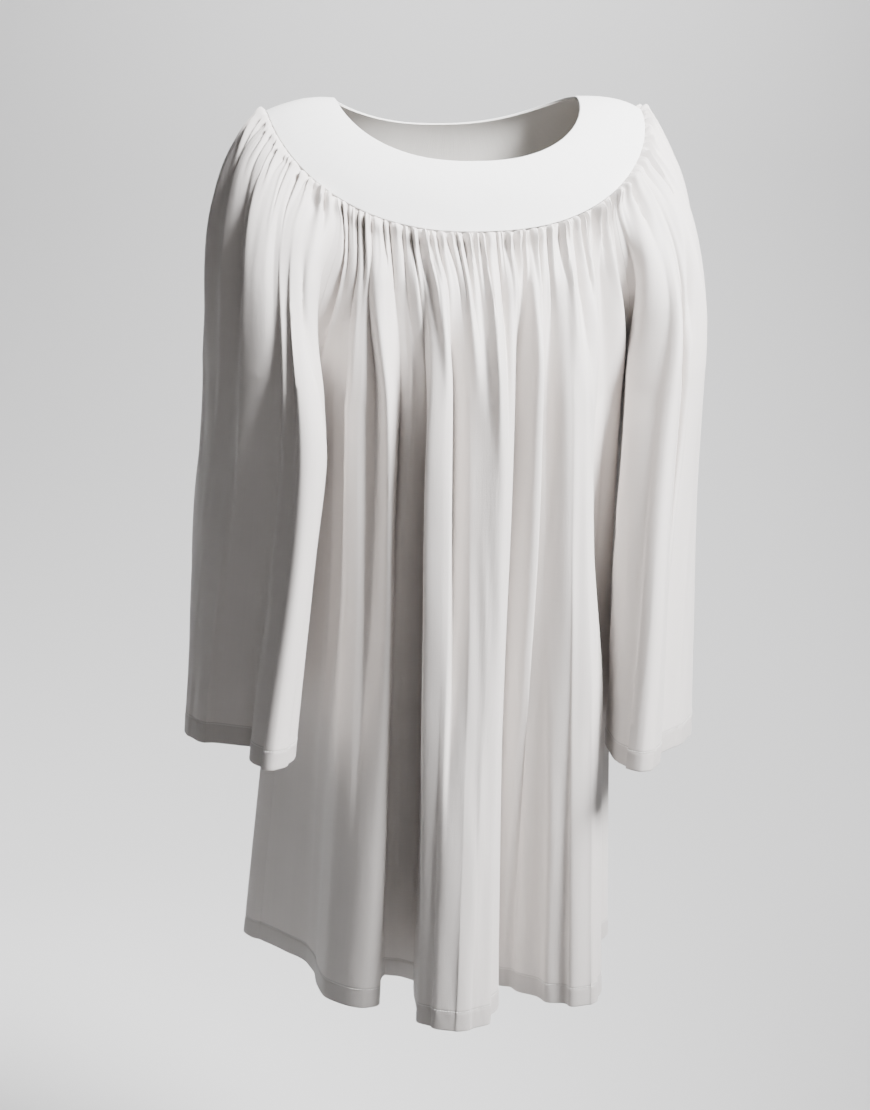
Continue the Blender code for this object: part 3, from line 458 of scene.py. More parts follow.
# The large folds at the hem. cloth: where across the piece, -1 to 1. turn: the angle round the plan
# where it hangs, in degrees. out: how far it stands out. curl: how far its flanks lean over.
FOLD_COLUMNS = "cloth turn out curl"
FRONT_FOLDS = table(FOLD_COLUMNS, [
    (-1.00, -90, -4, 0),
    (-0.95, -82, -20, 0),
    (-0.89, -70, -34, 2),
    (-0.85, -61, -26, 2),
    (-0.81, -48, 1, 2),
    (-0.76, -40, 4, 2),
    (-0.70, -32, -12, 2),
    (-0.65, -44, -84, 0),
    (-0.57, -38, -92, 0),
    (-0.50, -24, -78, 2),
    (-0.45, -18.5, 12, 3),
    (-0.38, -14.5, 30, 3),
    (-0.22, -8.6, 41, 3),
    (0.02, -1, 33, 3),
    (0.17, 5, 6, 4),
    (0.27, 16, -52, 2),
    (0.34, 20, -36, 2),
    (0.43, 22, 2, 3),
    (0.52, 25, 28, 3),
    (0.60, 29, 44, 5),
    (0.66, 35, 36, 5),
    (0.73, 45, -6, 4),
    (0.82, 56, -22, 4),
    (0.91, 72, 14, 4),
    (1.00, 90, 0, 0),
])
BACK_FOLDS = table(FOLD_COLUMNS, [
    (-1.00, -90, -4, 0),
    (-0.93, -77, 12, 3),
    (-0.84, -63, -36, 4),
    (-0.73, -52, 16, 6),
    (-0.58, -39, 34, 7),
    (-0.44, -30, -52, 7),
    (-0.30, -20, 26, 6),
    (-0.13, -9, 42, 8),
    (0.03, 2, -56, 7),
    (0.19, 10, 30, 6),
    (0.35, 23, 40, 8),
    (0.49, 34, -46, 7),
    (0.63, 45, 30, 6),
    (0.78, 59, 18, 5),
    (0.88, 71, -26, 4),
    (0.95, 81, 2, 2),
    (1.00, 90, 0, 0),
])

# Smaller folds, creases and pull marks. cloth: where it begins across the piece. drift: how far across
# it moves over the whole length. out: how far out at most. left, right: its width on either side. It
# begins at start, is full at full and is gone at end, all as places down the cloth.
CREASE_COLUMNS = "cloth drift out left right start full end"
FRONT_CREASES = table(CREASE_COLUMNS, [
    (-0.938, 0, 8, 0.029, 0.029, 0.04, 0.24, 0.70),
    (-0.854, 0, -7, 0.029, 0.029, 0.06, 0.30, 0.80),
    (-0.810, 0, 7, 0.037, 0.025, 0.03, 0.20, 0.90),
    (-0.772, 0, -15, 0.007, 0.030, 0.05, 0.26, 0.82),
    (-0.673, 0, -7, 0.027, 0.027, 0.05, 0.26, 0.75),
    (-0.398, 0, 8, 0.054, 0.054, 0.03, 0.22, 0.80),
    (-0.318, 0, -18, 0.014, 0.110, 0.05, 0.24, 0.80),
    (0.019, 0, 9, 0.077, 0.077, 0.03, 0.20, 0.75),
    (0.312, 0, 17, 0.018, 0.034, 0.02, 0.20, 0.95),
    (0.414, 0, -10, 0.061, 0.061, 0.04, 0.24, 0.75),
    (0.664, 0, 7, 0.037, 0.037, 0.03, 0.16, 0.50),
    (0.710, 0, -20, 0.100, 0.080, 0.10, 0.30, 0.62),
    (0.865, 0, 6, 0.028, 0.028, 0.05, 0.22, 0.60),
    (0.948, 0, -7, 0.023, 0.023, 0.06, 0.26, 0.65),
    (-0.888, 0.011, 3.5, 0.016, 0.008, 0.10, 0.35, 1.20),
    (-0.820, -0.013, -2.2, 0.013, 0.009, 0.08, 0.30, 0.85),
    (-0.715, 0, 5, 0.030, 0.012, 0.06, 0.30, 1.20),
    (-0.600, 0, 26, 0.080, 0.090, 0.05, 0.45, 1.40),
    (-0.578, 0.034, 2.2, 0.018, 0.018, 0.05, 0.20, 0.55),
    (-0.450, 0, 11, 0.020, 0.050, 0.06, 0.30, 0.85),
    (-0.350, 0, 6, 0.060, 0.010, 0.06, 0.30, 0.80),
    (-0.190, 0.056, -1.4, 0.040, 0.040, 0.12, 0.45, 0.90),
    (-0.077, 0.038, 1.4, 0.050, 0.050, 0.30, 0.60, 1.20),
    (0.135, -0.010, 4, 0.120, 0.012, 0.06, 0.30, 1.30),
    (0.185, -0.010, -8, 0.020, 0.030, 0.06, 0.28, 1.10),
    (0.200, 0.019, -2.2, 0.030, 0.036, 0.05, 0.20, 0.60),
    (0.291, 0, -24, 0.030, 0.008, 0.04, 0.24, 1.20),
    (0.325, -0.010, 4, 0.060, 0.012, 0.05, 0.26, 1.20),
    (0.452, 0, -9, 0.030, 0.022, 0.05, 0.24, 0.80),
    (-0.326, 0, -15, 0.008, 0.036, 0.05, 0.24, 0.74),
    (0.385, -0.010, -7, 0.018, 0.040, 0.06, 0.28, 0.95),
    (0.479, 0.027, 2, 0.019, 0.025, 0.10, 0.35, 0.85),
    (0.566, -0.034, -2.4, 0.021, 0.014, 0.12, 0.45, 1.05),
    (0.621, 0.02, 2.8, 0.012, 0.022, 0.08, 0.30, 0.95),
    (0.691, 0.121, -3.2, 0.012, 0.01, 0.06, 0.16, 0.34),
    (0.791, -0.177, -3, 0.01, 0.008, 0.05, 0.15, 0.30),
    (0.817, 0.019, 2.6, 0.013, 0.009, 0.10, 0.35, 0.90),
    (0.909, -0.015, 2.4, 0.008, 0.01, 0.10, 0.30, 0.80),
    (-0.966, 0.013, 1.8, 0.007, 0.007, 0.08, 0.20, 0.60),
])
BACK_CREASES = table(CREASE_COLUMNS, [
    (-0.948, 0, -7, 0.023, 0.023, 0.05, 0.24, 0.65),
    (-0.854, 0, 9, 0.029, 0.029, 0.03, 0.20, 0.70),
    (-0.700, 0, -9, 0.038, 0.038, 0.04, 0.26, 0.75),
    (-0.626, 0, 8, 0.035, 0.035, 0.02, 0.16, 0.55),
    (-0.398, 0, -8, 0.062, 0.062, 0.05, 0.30, 0.85),
    (0.057, 0, 10, 0.086, 0.086, 0.03, 0.20, 0.65),
    (0.190, 0, -8, 0.065, 0.065, 0.04, 0.22, 0.80),
    (0.512, 0, 8, 0.051, 0.051, 0.03, 0.18, 0.60),
    (0.716, 0, -7, 0.033, 0.033, 0.05, 0.28, 0.75),
    (0.777, 0, 9, 0.028, 0.028, 0.02, 0.18, 0.55),
    (0.898, 0, -8, 0.026, 0.026, 0.05, 0.24, 0.70),
    (0.957, 0, 6, 0.023, 0.023, 0.04, 0.20, 0.60),
    (-0.898, 0.016, 2.4, 0.009, 0.007, 0.08, 0.28, 0.90),
    (-0.791, -0.014, 3.2, 0.018, 0.008, 0.06, 0.30, 1.10),
    (-0.740, 0.015, -2.2, 0.011, 0.012, 0.10, 0.35, 0.80),
    (-0.583, -0.033, 3, 0.013, 0.027, 0.05, 0.26, 0.75),
    (-0.499, 0.026, -2, 0.018, 0.016, 0.14, 0.45, 1.00),
    (-0.281, 0.027, 3.8, 0.05, 0.021, 0.06, 0.30, 1.20),
    (-0.115, -0.038, -2.4, 0.023, 0.03, 0.08, 0.32, 0.85),
    (0.096, 0.057, 2, 0.027, 0.027, 0.22, 0.50, 1.10),
    (0.299, -0.026, 3.4, 0.017, 0.045, 0.05, 0.24, 0.90),
    (0.429, 0.03, -2.6, 0.024, 0.021, 0.10, 0.40, 1.05),
    (0.594, 0.022, 3, 0.024, 0.013, 0.06, 0.28, 0.80),
    (0.673, -0.027, -2, 0.013, 0.013, 0.12, 0.36, 0.95),
    (0.811, 0.01, 3.6, 0.017, 0.008, 0.06, 0.30, 1.15),
    (0.860, -0.012, 1.8, 0.008, 0.01, 0.10, 0.26, 0.60),
    (0.929, 0.015, 2.4, 0.008, 0.01, 0.08, 0.30, 0.85),
])


# Where the flank of a fold runs straight in, or under, so that the fold shows a hard edge. cloth, drift:
# where across the piece. width: how far to each side. turn: the degrees taken from the flank. shift:
# the degrees that the whole fold beside it moves. start, full, end: places down the cloth.
FLANK_COLUMNS = "cloth drift width turn shift start full end"
FRONT_FLANKS = table(FLANK_COLUMNS, [
    (-0.70, 0.00, 0.055, 4.0, 4.5, 0.03, 0.26, 1.10),
    (0.20, 0.00, 0.070, 9.0, -5.4, 0.03, 0.26, 1.20),
    (-0.47, 0.00, 0.050, 4.0, -1.5, 0.05, 0.30, 1.10),
    (0.355, 0.00, 0.045, 5.0, 1.0, 0.03, 0.22, 0.95),
])
BACK_FLANKS = table(FLANK_COLUMNS, [
    (-0.50, 0.00, 0.055, 3.6, 0.0, 0.04, 0.30, 1.10),
    (-0.05, 0.00, 0.060, 4.0, 0.0, 0.04, 0.26, 1.20),
    (0.42, 0.00, 0.050, 3.4, 0.0, 0.05, 0.30, 1.05),
])


def curve(x, xs, ys):
    """A smooth curve through the table's points that never overshoots between them."""
    x = np.clip(x, xs[0], xs[-1])
    steps = np.diff(xs)
    slopes = np.diff(ys) / steps
    ends = np.zeros(len(xs))
    same = slopes[:-1] * slopes[1:] > 0
    total = np.where(same, slopes[:-1] + slopes[1:], 1.0)
    ends[1:-1] = np.where(same, 2.0 * slopes[:-1] * slopes[1:] / total, 0.0)
    ends[0] = slopes[0]
    ends[-1] = slopes[-1]
    k = np.clip(np.searchsorted(xs, x, side="right") - 1, 0, len(steps) - 1)
    q = (x - xs[k]) / steps[k]
    blend = q * q * (3.0 - 2.0 * q)
    start_pull = q * (1.0 - q) ** 2 * steps[k] * ends[k]
    end_pull = q * q * (1.0 - q) * steps[k] * ends[k + 1]
    return ys[k] * (1.0 - blend) + ys[k + 1] * blend + start_pull - end_pull


def sway(cloth, down, seed):
    """The cloth place that each fold really has at a level, because no fold hangs dead straight."""
    shift = 0.007 * np.sin(7.0 * down + 6.0 * cloth + seed) + 0.004 * np.sin(17.0 * down - 9.0 * cloth)
    return cloth + shift * (1.0 - cloth * cloth) * ease(down / 0.3)


def gather_phase(cloth, count, seed):
    """Turns of the gathers across the piece, a little uneven in width."""
    uneven = 0.9 * np.sin(7.0 * cloth + seed) + 0.6 * np.sin(17.0 * cloth + 2.0 * seed)
    uneven = uneven + 1.0 * np.sin(41.0 * cloth + 3.0 * seed) + 0.5 * np.sin(67.0 * cloth + seed)
    return math.pi * count * cloth + uneven


def gathers(cloth, length, count, seed):
    """Small pleats, crisp in their valleys, that die out at uneven lengths below the seam.

    Each slants and wanders a little, and has its own strength and reach. Fine puckers run down from
    the seam's stitches, and the cloth rolls out just below them.
    """
    slant = 1.3 * np.sin(9.0 * cloth + 2.0 * seed) * ease(length / 70.0)
    wander = 0.6 * np.sin(length / 24.0 + 13.0 * cloth + seed) * ease(length / 45.0)
    phase = gather_phase(cloth, count, seed) + slant + wander
    number = phase / (2.0 * math.pi)
    strength = 0.90 + 0.45 * np.sin(2.3 * number + seed) + 0.4 * np.sin(5.1 * number)
    reach = GATHER_LENGTH * (0.80 + 0.35 * np.sin(1.7 * number + 1.3 * seed) + 0.35 * np.sin(4.3 * number))
    rise = 0.25 + 0.75 * ease(length / 6.0)
    fall = np.exp(-((length / reach) ** 1.5)) * (1.0 - ease(length / GATHER_END))
    pleat = 2.0 * np.sqrt(np.cos(0.5 * phase) ** 2 + GATHER_VALLEY) - 1.2
    fine = 0.55 * np.cos(2.0 * phase + 1.0) + 0.45 * np.cos(3.0 * phase + 5.0 * number)
    die_out = np.exp(-length / PUCKER_LENGTH) * ease(length / 1.5)
    puckers = fine * (1.0 + 0.5 * np.sin(3.3 * number)) * die_out
    swell = (length - ROLL_DOWN - 2.5 * np.sin(2.1 * number + seed)) / ROLL_WIDTH
    roll = (2.0 + 0.9 * np.sin(3.1 * number)) * np.exp(-swell * swell) - 2.0 * np.exp(-length / 1.8)
    return GATHER_DEPTH * strength * rise * fall * pleat + PUCKER_DEPTH * puckers + roll


def pipes(cloth, down, count, seed):
    """Middling folds: three or so gathers run together and fade into the large folds."""
    phase = gather_phase(cloth, count, seed) / 3.0
    number = phase / (2.0 * math.pi)
    strength = 0.75 + 0.3 * np.sin(1.9 * number + seed) + 0.2 * np.sin(4.3 * number)
    start = ease(down / PIPE_START)
    end = 1.0 - ease((down - PIPE_FADE) / (0.17 + 0.06 * np.sin(1.4 * number + seed)))
    return PIPE_DEPTH * strength * start * end * np.cos(phase)


def hem_folds(cloth, folds):
    """The large folds at full strength: how far out, and how far sideways, each bit of cloth goes."""
    at, out = folds["cloth"], folds["out"]
    k = np.clip(np.searchsorted(at, cloth, side="right") - 1, 0, len(at) - 2)
    part = (cloth - at[k]) / (at[k + 1] - at[k])
    lean = (folds["curl"][k] + folds["curl"][k + 1]) * 0.5 * np.sign(out[k] - out[k + 1])
    return curve(cloth, at, out), lean * np.sin(2.0 * math.pi * part)


def strength_at(down, start, full, end):
    """A fold's strength at a level: nothing at start, whole at full and gone again at end."""
    return ease((down - start) / (full - start)) * (1.0 - ease((down - full) / (end - full)))


def crease_folds(cloth, down, creases):
    """The smaller folds, each a soft ridge or trough along the cloth."""
    total = np.zeros_like(cloth)
    for place, drift, out, left, right, start, full, end in zip(*creases.values()):
        beside = cloth - place - drift * (down - start)
        ridge = np.exp(-((beside / np.where(beside < 0, left, right)) ** 2))
        total += out * strength_at(down, start, full, end) * ridge
    return total * ease((1.0 - np.abs(cloth)) / CREASE_EDGE)


def flank_turns(cloth, down, flanks):
    """The degrees that cloth by each hard-edged flank moves round the plan."""
    total = np.zeros_like(cloth)
    for place, drift, width, turn, shift, start, full, end in zip(*flanks.values()):
        beside = (cloth - place - drift * (down - start)) / width
        moved = shift * np.exp(-(0.5 * beside) ** 2) - turn * beside * np.exp(-beside * beside)
        total += strength_at(down, start, full, end) * moved
    return total


def wear(cloth, down, seed):
    """The slight unevenness of cloth that has been worn since it was pressed."""
    waves = 0.5 * np.sin(23.0 * cloth + 5.0 * down + seed) * np.sin(9.0 * down + 4.0 * cloth)
    waves = waves + 0.35 * np.sin(41.0 * cloth - 12.0 * down + 2.0 * seed) * np.sin(21.0 * down + seed)
    return waves * ease(down / 0.1) * (1.0 - cloth * cloth)


def turn_in(distance, radius):
    """How far the cloth turns sideways as it runs into a crease of the given radius."""
    return radius * (1.0 - np.sin(np.clip(distance / np.maximum(radius, 0.01), 0.0, math.pi / 2)))


def spread(cloth, middle, edge, power):
    """The angle at which cloth hangs below the underarm, out of edge at a piece's sewn edges.

    Cloth gathered at the yoke hangs nearly plumb, and only the flare by the edges goes round the side.
    """
    return np.sign(cloth) * (middle * np.abs(cloth) + (edge - middle) * np.abs(cloth) ** power)


def opening(cloth, along):
    """How far the cloth has opened from the yoke seam (0) to the underarm (1), later in its middle."""
    edge = np.abs(cloth)
    at_seam = 2.0 * ease(0.5 * np.clip(along, 0.0, 1.0))
    left = 1.0 - np.clip(along / (1.0 + (FALL_REACH - 1.0) * (1.0 - edge ** 3)), 0.0, 1.0)
    inside = 1.0 - left * left
    return inside + (at_seam - inside) * edge ** 4


def at_level(plan, down):
    """The columns of a plan at a level, in the table's order."""
    return [curve(down, plan["down"], plan[column]) for column in plan if column != "down"]


def body_plan(angle, down):
    """The body's plain plan at a level, without folds: x, y and the outward direction."""
    across, middle, front, back, side, power = at_level(BODY, down)
    along = np.where(np.cos(angle) > 0, side - front, back - side)
    x, y, out_x, out_y = oval(angle, across, along, power)
    return x + middle, y + side, out_x, out_y


def body_point(cloth, down, facing):
    """The front (facing 1) or back (facing -1) panel at a place in its cloth."""
    folds, creases, flanks = ((FRONT_FOLDS, FRONT_CREASES, FRONT_FLANKS) if facing > 0
                              else (BACK_FOLDS, BACK_CREASES, BACK_FLANKS))
    swayed = sway(cloth, down, facing)
    seam_turn = RAGLAN_ANGLE * cloth
    hung = spread(cloth, BODY_SPREAD, 90.0, BODY_FLARE)
    hung = hung + (curve(swayed, folds["cloth"], folds["turn"]) - hung) * ease(down)
    hung = hung + flank_turns(swayed, down, flanks)
    angle = np.radians(seam_turn + (hung - seam_turn) * opening(cloth, down / UNDERARM_DOWN))
    angle = angle if facing > 0 else math.pi - angle
    x, y, out_x, out_y = body_plan(angle, down)

    seam_angle = np.radians(seam_turn)
    seam = yoke_seam(seam_angle if facing > 0 else math.pi - seam_angle)
    drop = RAGLAN_DROP + (HEM_DROP - RAGLAN_DROP) * down
    z = -drop + (seam[..., 2] + RAGLAN_DROP) * (1.0 - ease(down / UNDERARM_DOWN))
    length = (HEM_DROP - RAGLAN_DROP) * down

    quiet = ease((1.0 - np.abs(cloth)) / QUIET_EDGE)
    small = gathers(cloth, length, BODY_GATHERS, 0.6 * facing)
    small = small + pipes(swayed, down, BODY_GATHERS, 0.6 * facing) * quiet
    small = small + crease_folds(swayed, down, creases) + wear(cloth, down, facing)
    big_out, big_side = hem_folds(swayed, folds)
    growth = down ** BODY_GROWTH
    slope = CHEST_SLOPE * np.exp(-length / CHEST_REACH)
    outward = small * np.sqrt(1.0 - slope * slope) + big_out * growth
    sideways = big_side * growth * facing
    x = x + outward * out_x - sideways * out_y
    y = y + outward * out_y + sideways * out_x
    z = z + small * slope

    beside = (1.0 - np.abs(spread(cloth, BODY_SPREAD, 90.0, BODY_FLARE)) / 90.0) * BODY_HALF_CLOTH
    below = np.maximum(down - UNDERARM_DOWN, 0.0) * (HEM_DROP - RAGLAN_DROP)
    radius = CREASE_RADIUS * ease(down / (CREASE_START * UNDERARM_DOWN))
    x = x + np.sign(cloth) * turn_in(np.hypot(beside, below), radius)
    return np.stack([x, y, z], -1)


# The rows of a gathered piece's mesh: the steps from the yoke seam, as shares of the way to the underarm,
# and how many more reach it, then those just below the underarm, in the middle and just above the hem,
# in mm from the underarm or the hem
SEAM_STEPS = [0.0, 0.004, 0.005, 0.007, 0.009, 0.012, 0.014, *([0.016] * 34)]
UNDERARM_STEPS = 16
UNDERARM_ROWS = [1.0, 2.2, 3.8, 5.8, 8.2, 12.0, 18.0]
MIDDLE_START = 26.0
MIDDLE_END = 34.0
MIDDLE_PITCH = 10.5
HEM_ROWS = np.array([29.0, 26.0, 24.0, 23.0, 22.2, 21.4, 20.6, 19.8, 18.8, 17.0, 14.0, 11.0, 8.0, 5.0,
                     3.0, 1.6, 0.8, 0.3, 0.0])

# Its columns: those beside a sewn edge, in mm from it, and those for each gather, finer for a share of
# the way to the underarm, with more beside each hard-edged fold
EDGE_COLUMNS = np.array([0.0, 1.0, 2.5, 4.5, 7.0, 10.0, 14.0])
FINE_COLUMNS = 12
WIDE_COLUMNS = 8
FINE_END = 0.62
HARD_EDGE_REACH = 0.022
HARD_EDGE_COLUMNS = 14


def across_row(columns, edge_cloth, hard_edges):
    """A row's places across, closer together beside the two sewn edges and at each hard-edged fold."""
    edges = 1.0 - EDGE_COLUMNS / edge_cloth
    inner = np.linspace(-edges.min(), edges.min(), columns + 2)[1:-1]
    beside = [np.linspace(place - HARD_EDGE_REACH, place + HARD_EDGE_REACH, HARD_EDGE_COLUMNS)
              for place in hard_edges]
    return np.unique(np.round(np.concatenate([-edges, inner, edges, *beside]), 5))


def hanging_rows(count, edge_cloth, underarm, drop, hard_edges=()):
    """The rows from the yoke seam to the hem: close by the seams, the underarm and the hem."""
    seam = np.cumsum(SEAM_STEPS)
    above = np.concatenate([seam, np.linspace(seam[-1], 1.0, UNDERARM_STEPS)[1:]]) * underarm
    low = drop * (1.0 - underarm)
    middle = np.linspace(MIDDLE_START, low - MIDDLE_END, int(low / MIDDLE_PITCH))
    below = underarm + np.concatenate([UNDERARM_ROWS, middle, low - HEM_ROWS]) / drop
    wide = across_row(count * WIDE_COLUMNS, edge_cloth, hard_edges)
    fine = across_row(count * FINE_COLUMNS, edge_cloth, hard_edges)
    fine_end = FINE_END * underarm
    return [(down, fine if down < fine_end else wide) for down in np.concatenate([above, below])]


# The hem: how round its edge is, how far below the turned layer's upper edge it is stitched, how far
# that layer pushes the wall out and in, how wide and deep the stitched line sinks on the outside and the
# inside, and how far, how low and how wide its stitches tug at the cloth
HEM_ROUND = 1.6
STITCH_INSET = 1.6
TURNED_OUT = 0.25
TURNED_IN = 0.9
SUNK_WIDTH = 1.1
SUNK_OUT = 0.55
SUNK_IN = 0.2
STITCH_TUG = 0.34
TUG_INSET = 3.0
TUG_WIDTH = 6.0

# The stitches: their pitch, length, half thickness, sides and rings (how far along, the share of the
# thickness, the lift off the cloth), the line's ends and points, and how far it lies off the wall
STITCH_PITCH = 2.8
STITCH_LENGTH = 2.1
STITCH_THICK = 0.26
STITCH_SIDES = 6
STITCH_RINGS = ((0.0, 0.35, 0.0), (0.2, 1.0, 0.25), (0.8, 1.0, 0.25), (1.0, 0.35, 0.0))
STITCH_ENDS = 0.999
STITCH_POINTS = 3000
STITCH_OUT = 0.05


def hem_finish(piece, drop):
    """How far the wall reaches to each side: a hem turned up inside, held by a stitched line."""
    up = (1.0 - piece.down) * drop
    turned = ease(HEM_DEPTH - up)
    round_end = rounded(up, HEM_ROUND)
    line = np.exp(-(((up - HEM_DEPTH + STITCH_INSET) / SUNK_WIDTH) ** 2))
    beside_line = np.exp(-(((up - HEM_DEPTH + TUG_INSET) / TUG_WIDTH) ** 2))
    across = piece.places * BODY_HALF_CLOTH
    tug = np.sin(across / 2.3 + 2.0 * np.sin(across / 17.0)) * (0.6 + 0.4 * np.sin(across / 23.0))
    half_wall = WALL / 2.0 * (0.3 + 0.7 * round_end)
    outside = half_wall + TURNED_OUT * turned * round_end - SUNK_OUT * line
    inside = half_wall + TURNED_IN * turned * round_end - SUNK_IN * line
    return outside + STITCH_TUG * tug * beside_line, inside - STITCH_TUG * tug * beside_line


def stitches(name, place, material):
    """A row of machine stitches along a line of a piece: place gives the line's points and outward."""
    line, outward = place(np.linspace(-STITCH_ENDS, STITCH_ENDS, STITCH_POINTS))
    run = np.concatenate([[0.0], np.cumsum(np.linalg.norm(np.diff(line, axis=0), axis=1))])
    points, faces = [], []
    count = STITCH_SIDES
    turns = np.arange(count) * math.pi / (0.5 * count)
    for middle in np.arange(STITCH_PITCH, run[-1] - STITCH_PITCH, STITCH_PITCH):
        ends = [np.array([np.interp(middle + end * STITCH_LENGTH, run, line[:, k]) for k in range(3)])
                for end in (-0.5, 0.5)]
        out = np.array([np.interp(middle, run, outward[:, k]) for k in range(3)])
        along = ends[1] - ends[0]
        beside = np.cross(along, out)
        beside /= np.linalg.norm(beside)
        ring = np.outer(np.cos(turns), out) + np.outer(np.sin(turns), beside)
        start = len(points)
        for share, size, lift in STITCH_RINGS:
            centre = ends[0] + along * share + out * lift
            points += (centre + ring * STITCH_THICK * size).tolist()
        for a in range(start, len(points) - count, count):
            b = a + count
            faces += [(a + i, a + (i + 1) % count, b + (i + 1) % count, b + i) for i in range(count)]
        faces.append(tuple(range(start + count - 1, start - 1, -1)))
        faces.append(tuple(range(len(points) - count, len(points))))
    mesh = bpy.data.meshes.new(name)
    mesh.from_pydata((np.array(points) * MM).tolist(), [], faces)
    mesh.shade_smooth()
    mesh.materials.append(material)
    piece = bpy.data.objects.new(name, mesh)
    bpy.context.scene.collection.objects.link(piece)
    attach(piece, "root")
    return piece


def on_hem(point, drop, flip):
    """The line of a hem's stitching on a piece, and the outward direction along it."""
    step = 0.0005

    def place(cloth):
        down = np.full_like(cloth, 1.0 - (HEM_DEPTH - STITCH_INSET) / drop)
        here = point(cloth, down)
        out = np.cross(point(cloth + step, down) - here, point(cloth, down - step) - here) * flip
        out /= np.linalg.norm(out, axis=1)[:, None]
        return here + out * (WALL / 2.0 + STITCH_OUT), out
    return place


def thread_finish(name, colour):
    """Spun polyester thread, a little shinier than the cloth, with its ply shown as fine shading."""
    material = bpy.data.materials.new(name)
    material.use_nodes = True
    tree = material.node_tree
    shader = tree.nodes["Principled BSDF"]
    start = Wire(tree)
    place = start.node("ShaderNodeTexCoord", {}, {}, "Object")
    ply = start.node("ShaderNodeTexNoise", {}, {"Vector": place, "Scale": 1800.0, "Detail": 1.0})
    shade = 0.9 + ply * 0.2
    tinted = start.node("ShaderNodeVectorMath", {"operation": "SCALE"}, {0: colour, "Scale": shade})
    tree.links.new(tinted.socket, shader.inputs["Base Color"])
    shader.inputs["Roughness"].default_value = 0.45
    return material


def hanging_piece(name, rows, point, side, seam_turn, drop, flat_half, material):
    """A gathered piece, sewn to its neighbours along three edges and hemmed at its foot.

    side is -1 for the pieces that run the other way round. seam_turn gives the angle at which the
    middle of its yoke seam lies, and how far the seam runs to either side.
    """
    piece = Cloth(rows, point, side < 0)
    top = piece.row(0)
    middle, half_angle = seam_turn
    piece.normals[top] = yoke_normal(np.radians(middle + half_angle * piece.places[top]))
    for edge in (piece.first, piece.last, top):
        piece.open_seam(edge)
    outside, inside = hem_finish(piece, drop)
    return piece.make(name, outside, inside, piece.places * flat_half, piece.down * drop, material)


# First, the painted shade on the doubled hem: the share of the cloth's colour kept there, as less light
# shines through two layers than one. HARD_EDGES: where the front's two hard-edged folds lie, so that its
# mesh is finer there.
HEM_PAINTED_SHADE = 0.80
HARD_EDGES = {1: (-0.775, 0.305), -1: ()}
BODY_FINISH = {"roughness": 0.58, "sheen": 0.2, "slub": 0.07}
THREAD_WHITE = (0.82, 0.81, 0.79)

body_drop = HEM_DROP - RAGLAN_DROP
body_cloth = woven("body_polycotton", WHITE, **BODY_FINISH, hem_shade=(body_drop - HEM_DEPTH, HEM_PAINTED_SHADE))
thread = thread_finish("sewing_thread", THREAD_WHITE)
for name, node, yoke_half, facing in (("front_panel", "front", "yoke_front_half", 1),
                                      ("back_panel", "back", "yoke_back_half", -1)):
    point = partial(body_point, facing=facing)
    rows = hanging_rows(BODY_GATHERS, BODY_EDGE_CLOTH, UNDERARM_DOWN, body_drop, HARD_EDGES[facing])
    seam_turn = (90.0 - 90.0 * facing, RAGLAN_ANGLE * facing)
    piece = hanging_piece(name, rows, point, facing, seam_turn, body_drop, BODY_FLAT_HALF, body_cloth)
    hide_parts(node)
    hem = stitches(name + "_stitches", on_hem(point, body_drop, facing), thread)

# The sleeves
# Long full bell sleeves of the body's cloth, each one piece gathered over the shoulder into the yoke
# seam, sewn to both panels down the armhole, closed by a seam under the arm, and hemmed at the cuff.

# Each sleeve's gathers, half its width as it lies flat, as it hangs and as the mesh's edge columns count
# it, where its underarm is, and how far round the arm it turns, hangs and flares
SLEEVE_GATHERS = 27
SLEEVE_FLAT_HALF = 330.0
SLEEVE_HALF_CLOTH = 300.0
SLEEVE_EDGE_CLOTH = 1400.0
SLEEVE_UNDERARM = 0.37
SLEEVE_ANGLE = 88.0
SLEEVE_SPREAD = 84.0
SLEEVE_FLARE = 8.0

# How its large folds grow on the way down and how strong its pipes are, how its cloth slopes as it leaves
# the shoulder and the armholes, over what length it turns plumb, and the drop of each cuff
SLEEVE_GROWTH = 0.9
SLEEVE_PIPES = 0.75
SHOULDER_REACH = 75.0
SHOULDER_SLOPE = 0.92
ARMHOLE_SLOPE = 0.45
CUFF_DROP_LEFT = 612.0
CUFF_DROP_RIGHT = 624.0

# How it meets the body: how softly its edges leave the armhole at the underarm, and from how near the
# edge, how far below and beside the seam still pulls the cloth, and how far clear of the body its inner
# side hangs, how far from the seam it comes clear, and how softly
UNDERARM_SOFT = 0.06
SOFT_REACH = 0.08
SOFT_LEAST = 0.02
UNDERARM_PULL = 58.0
SEAM_PULL = 0.22
SLEEVE_CLEAR = 14.0
CLEAR_REACH = 40.0
CLEAR_SOFT = 4.0

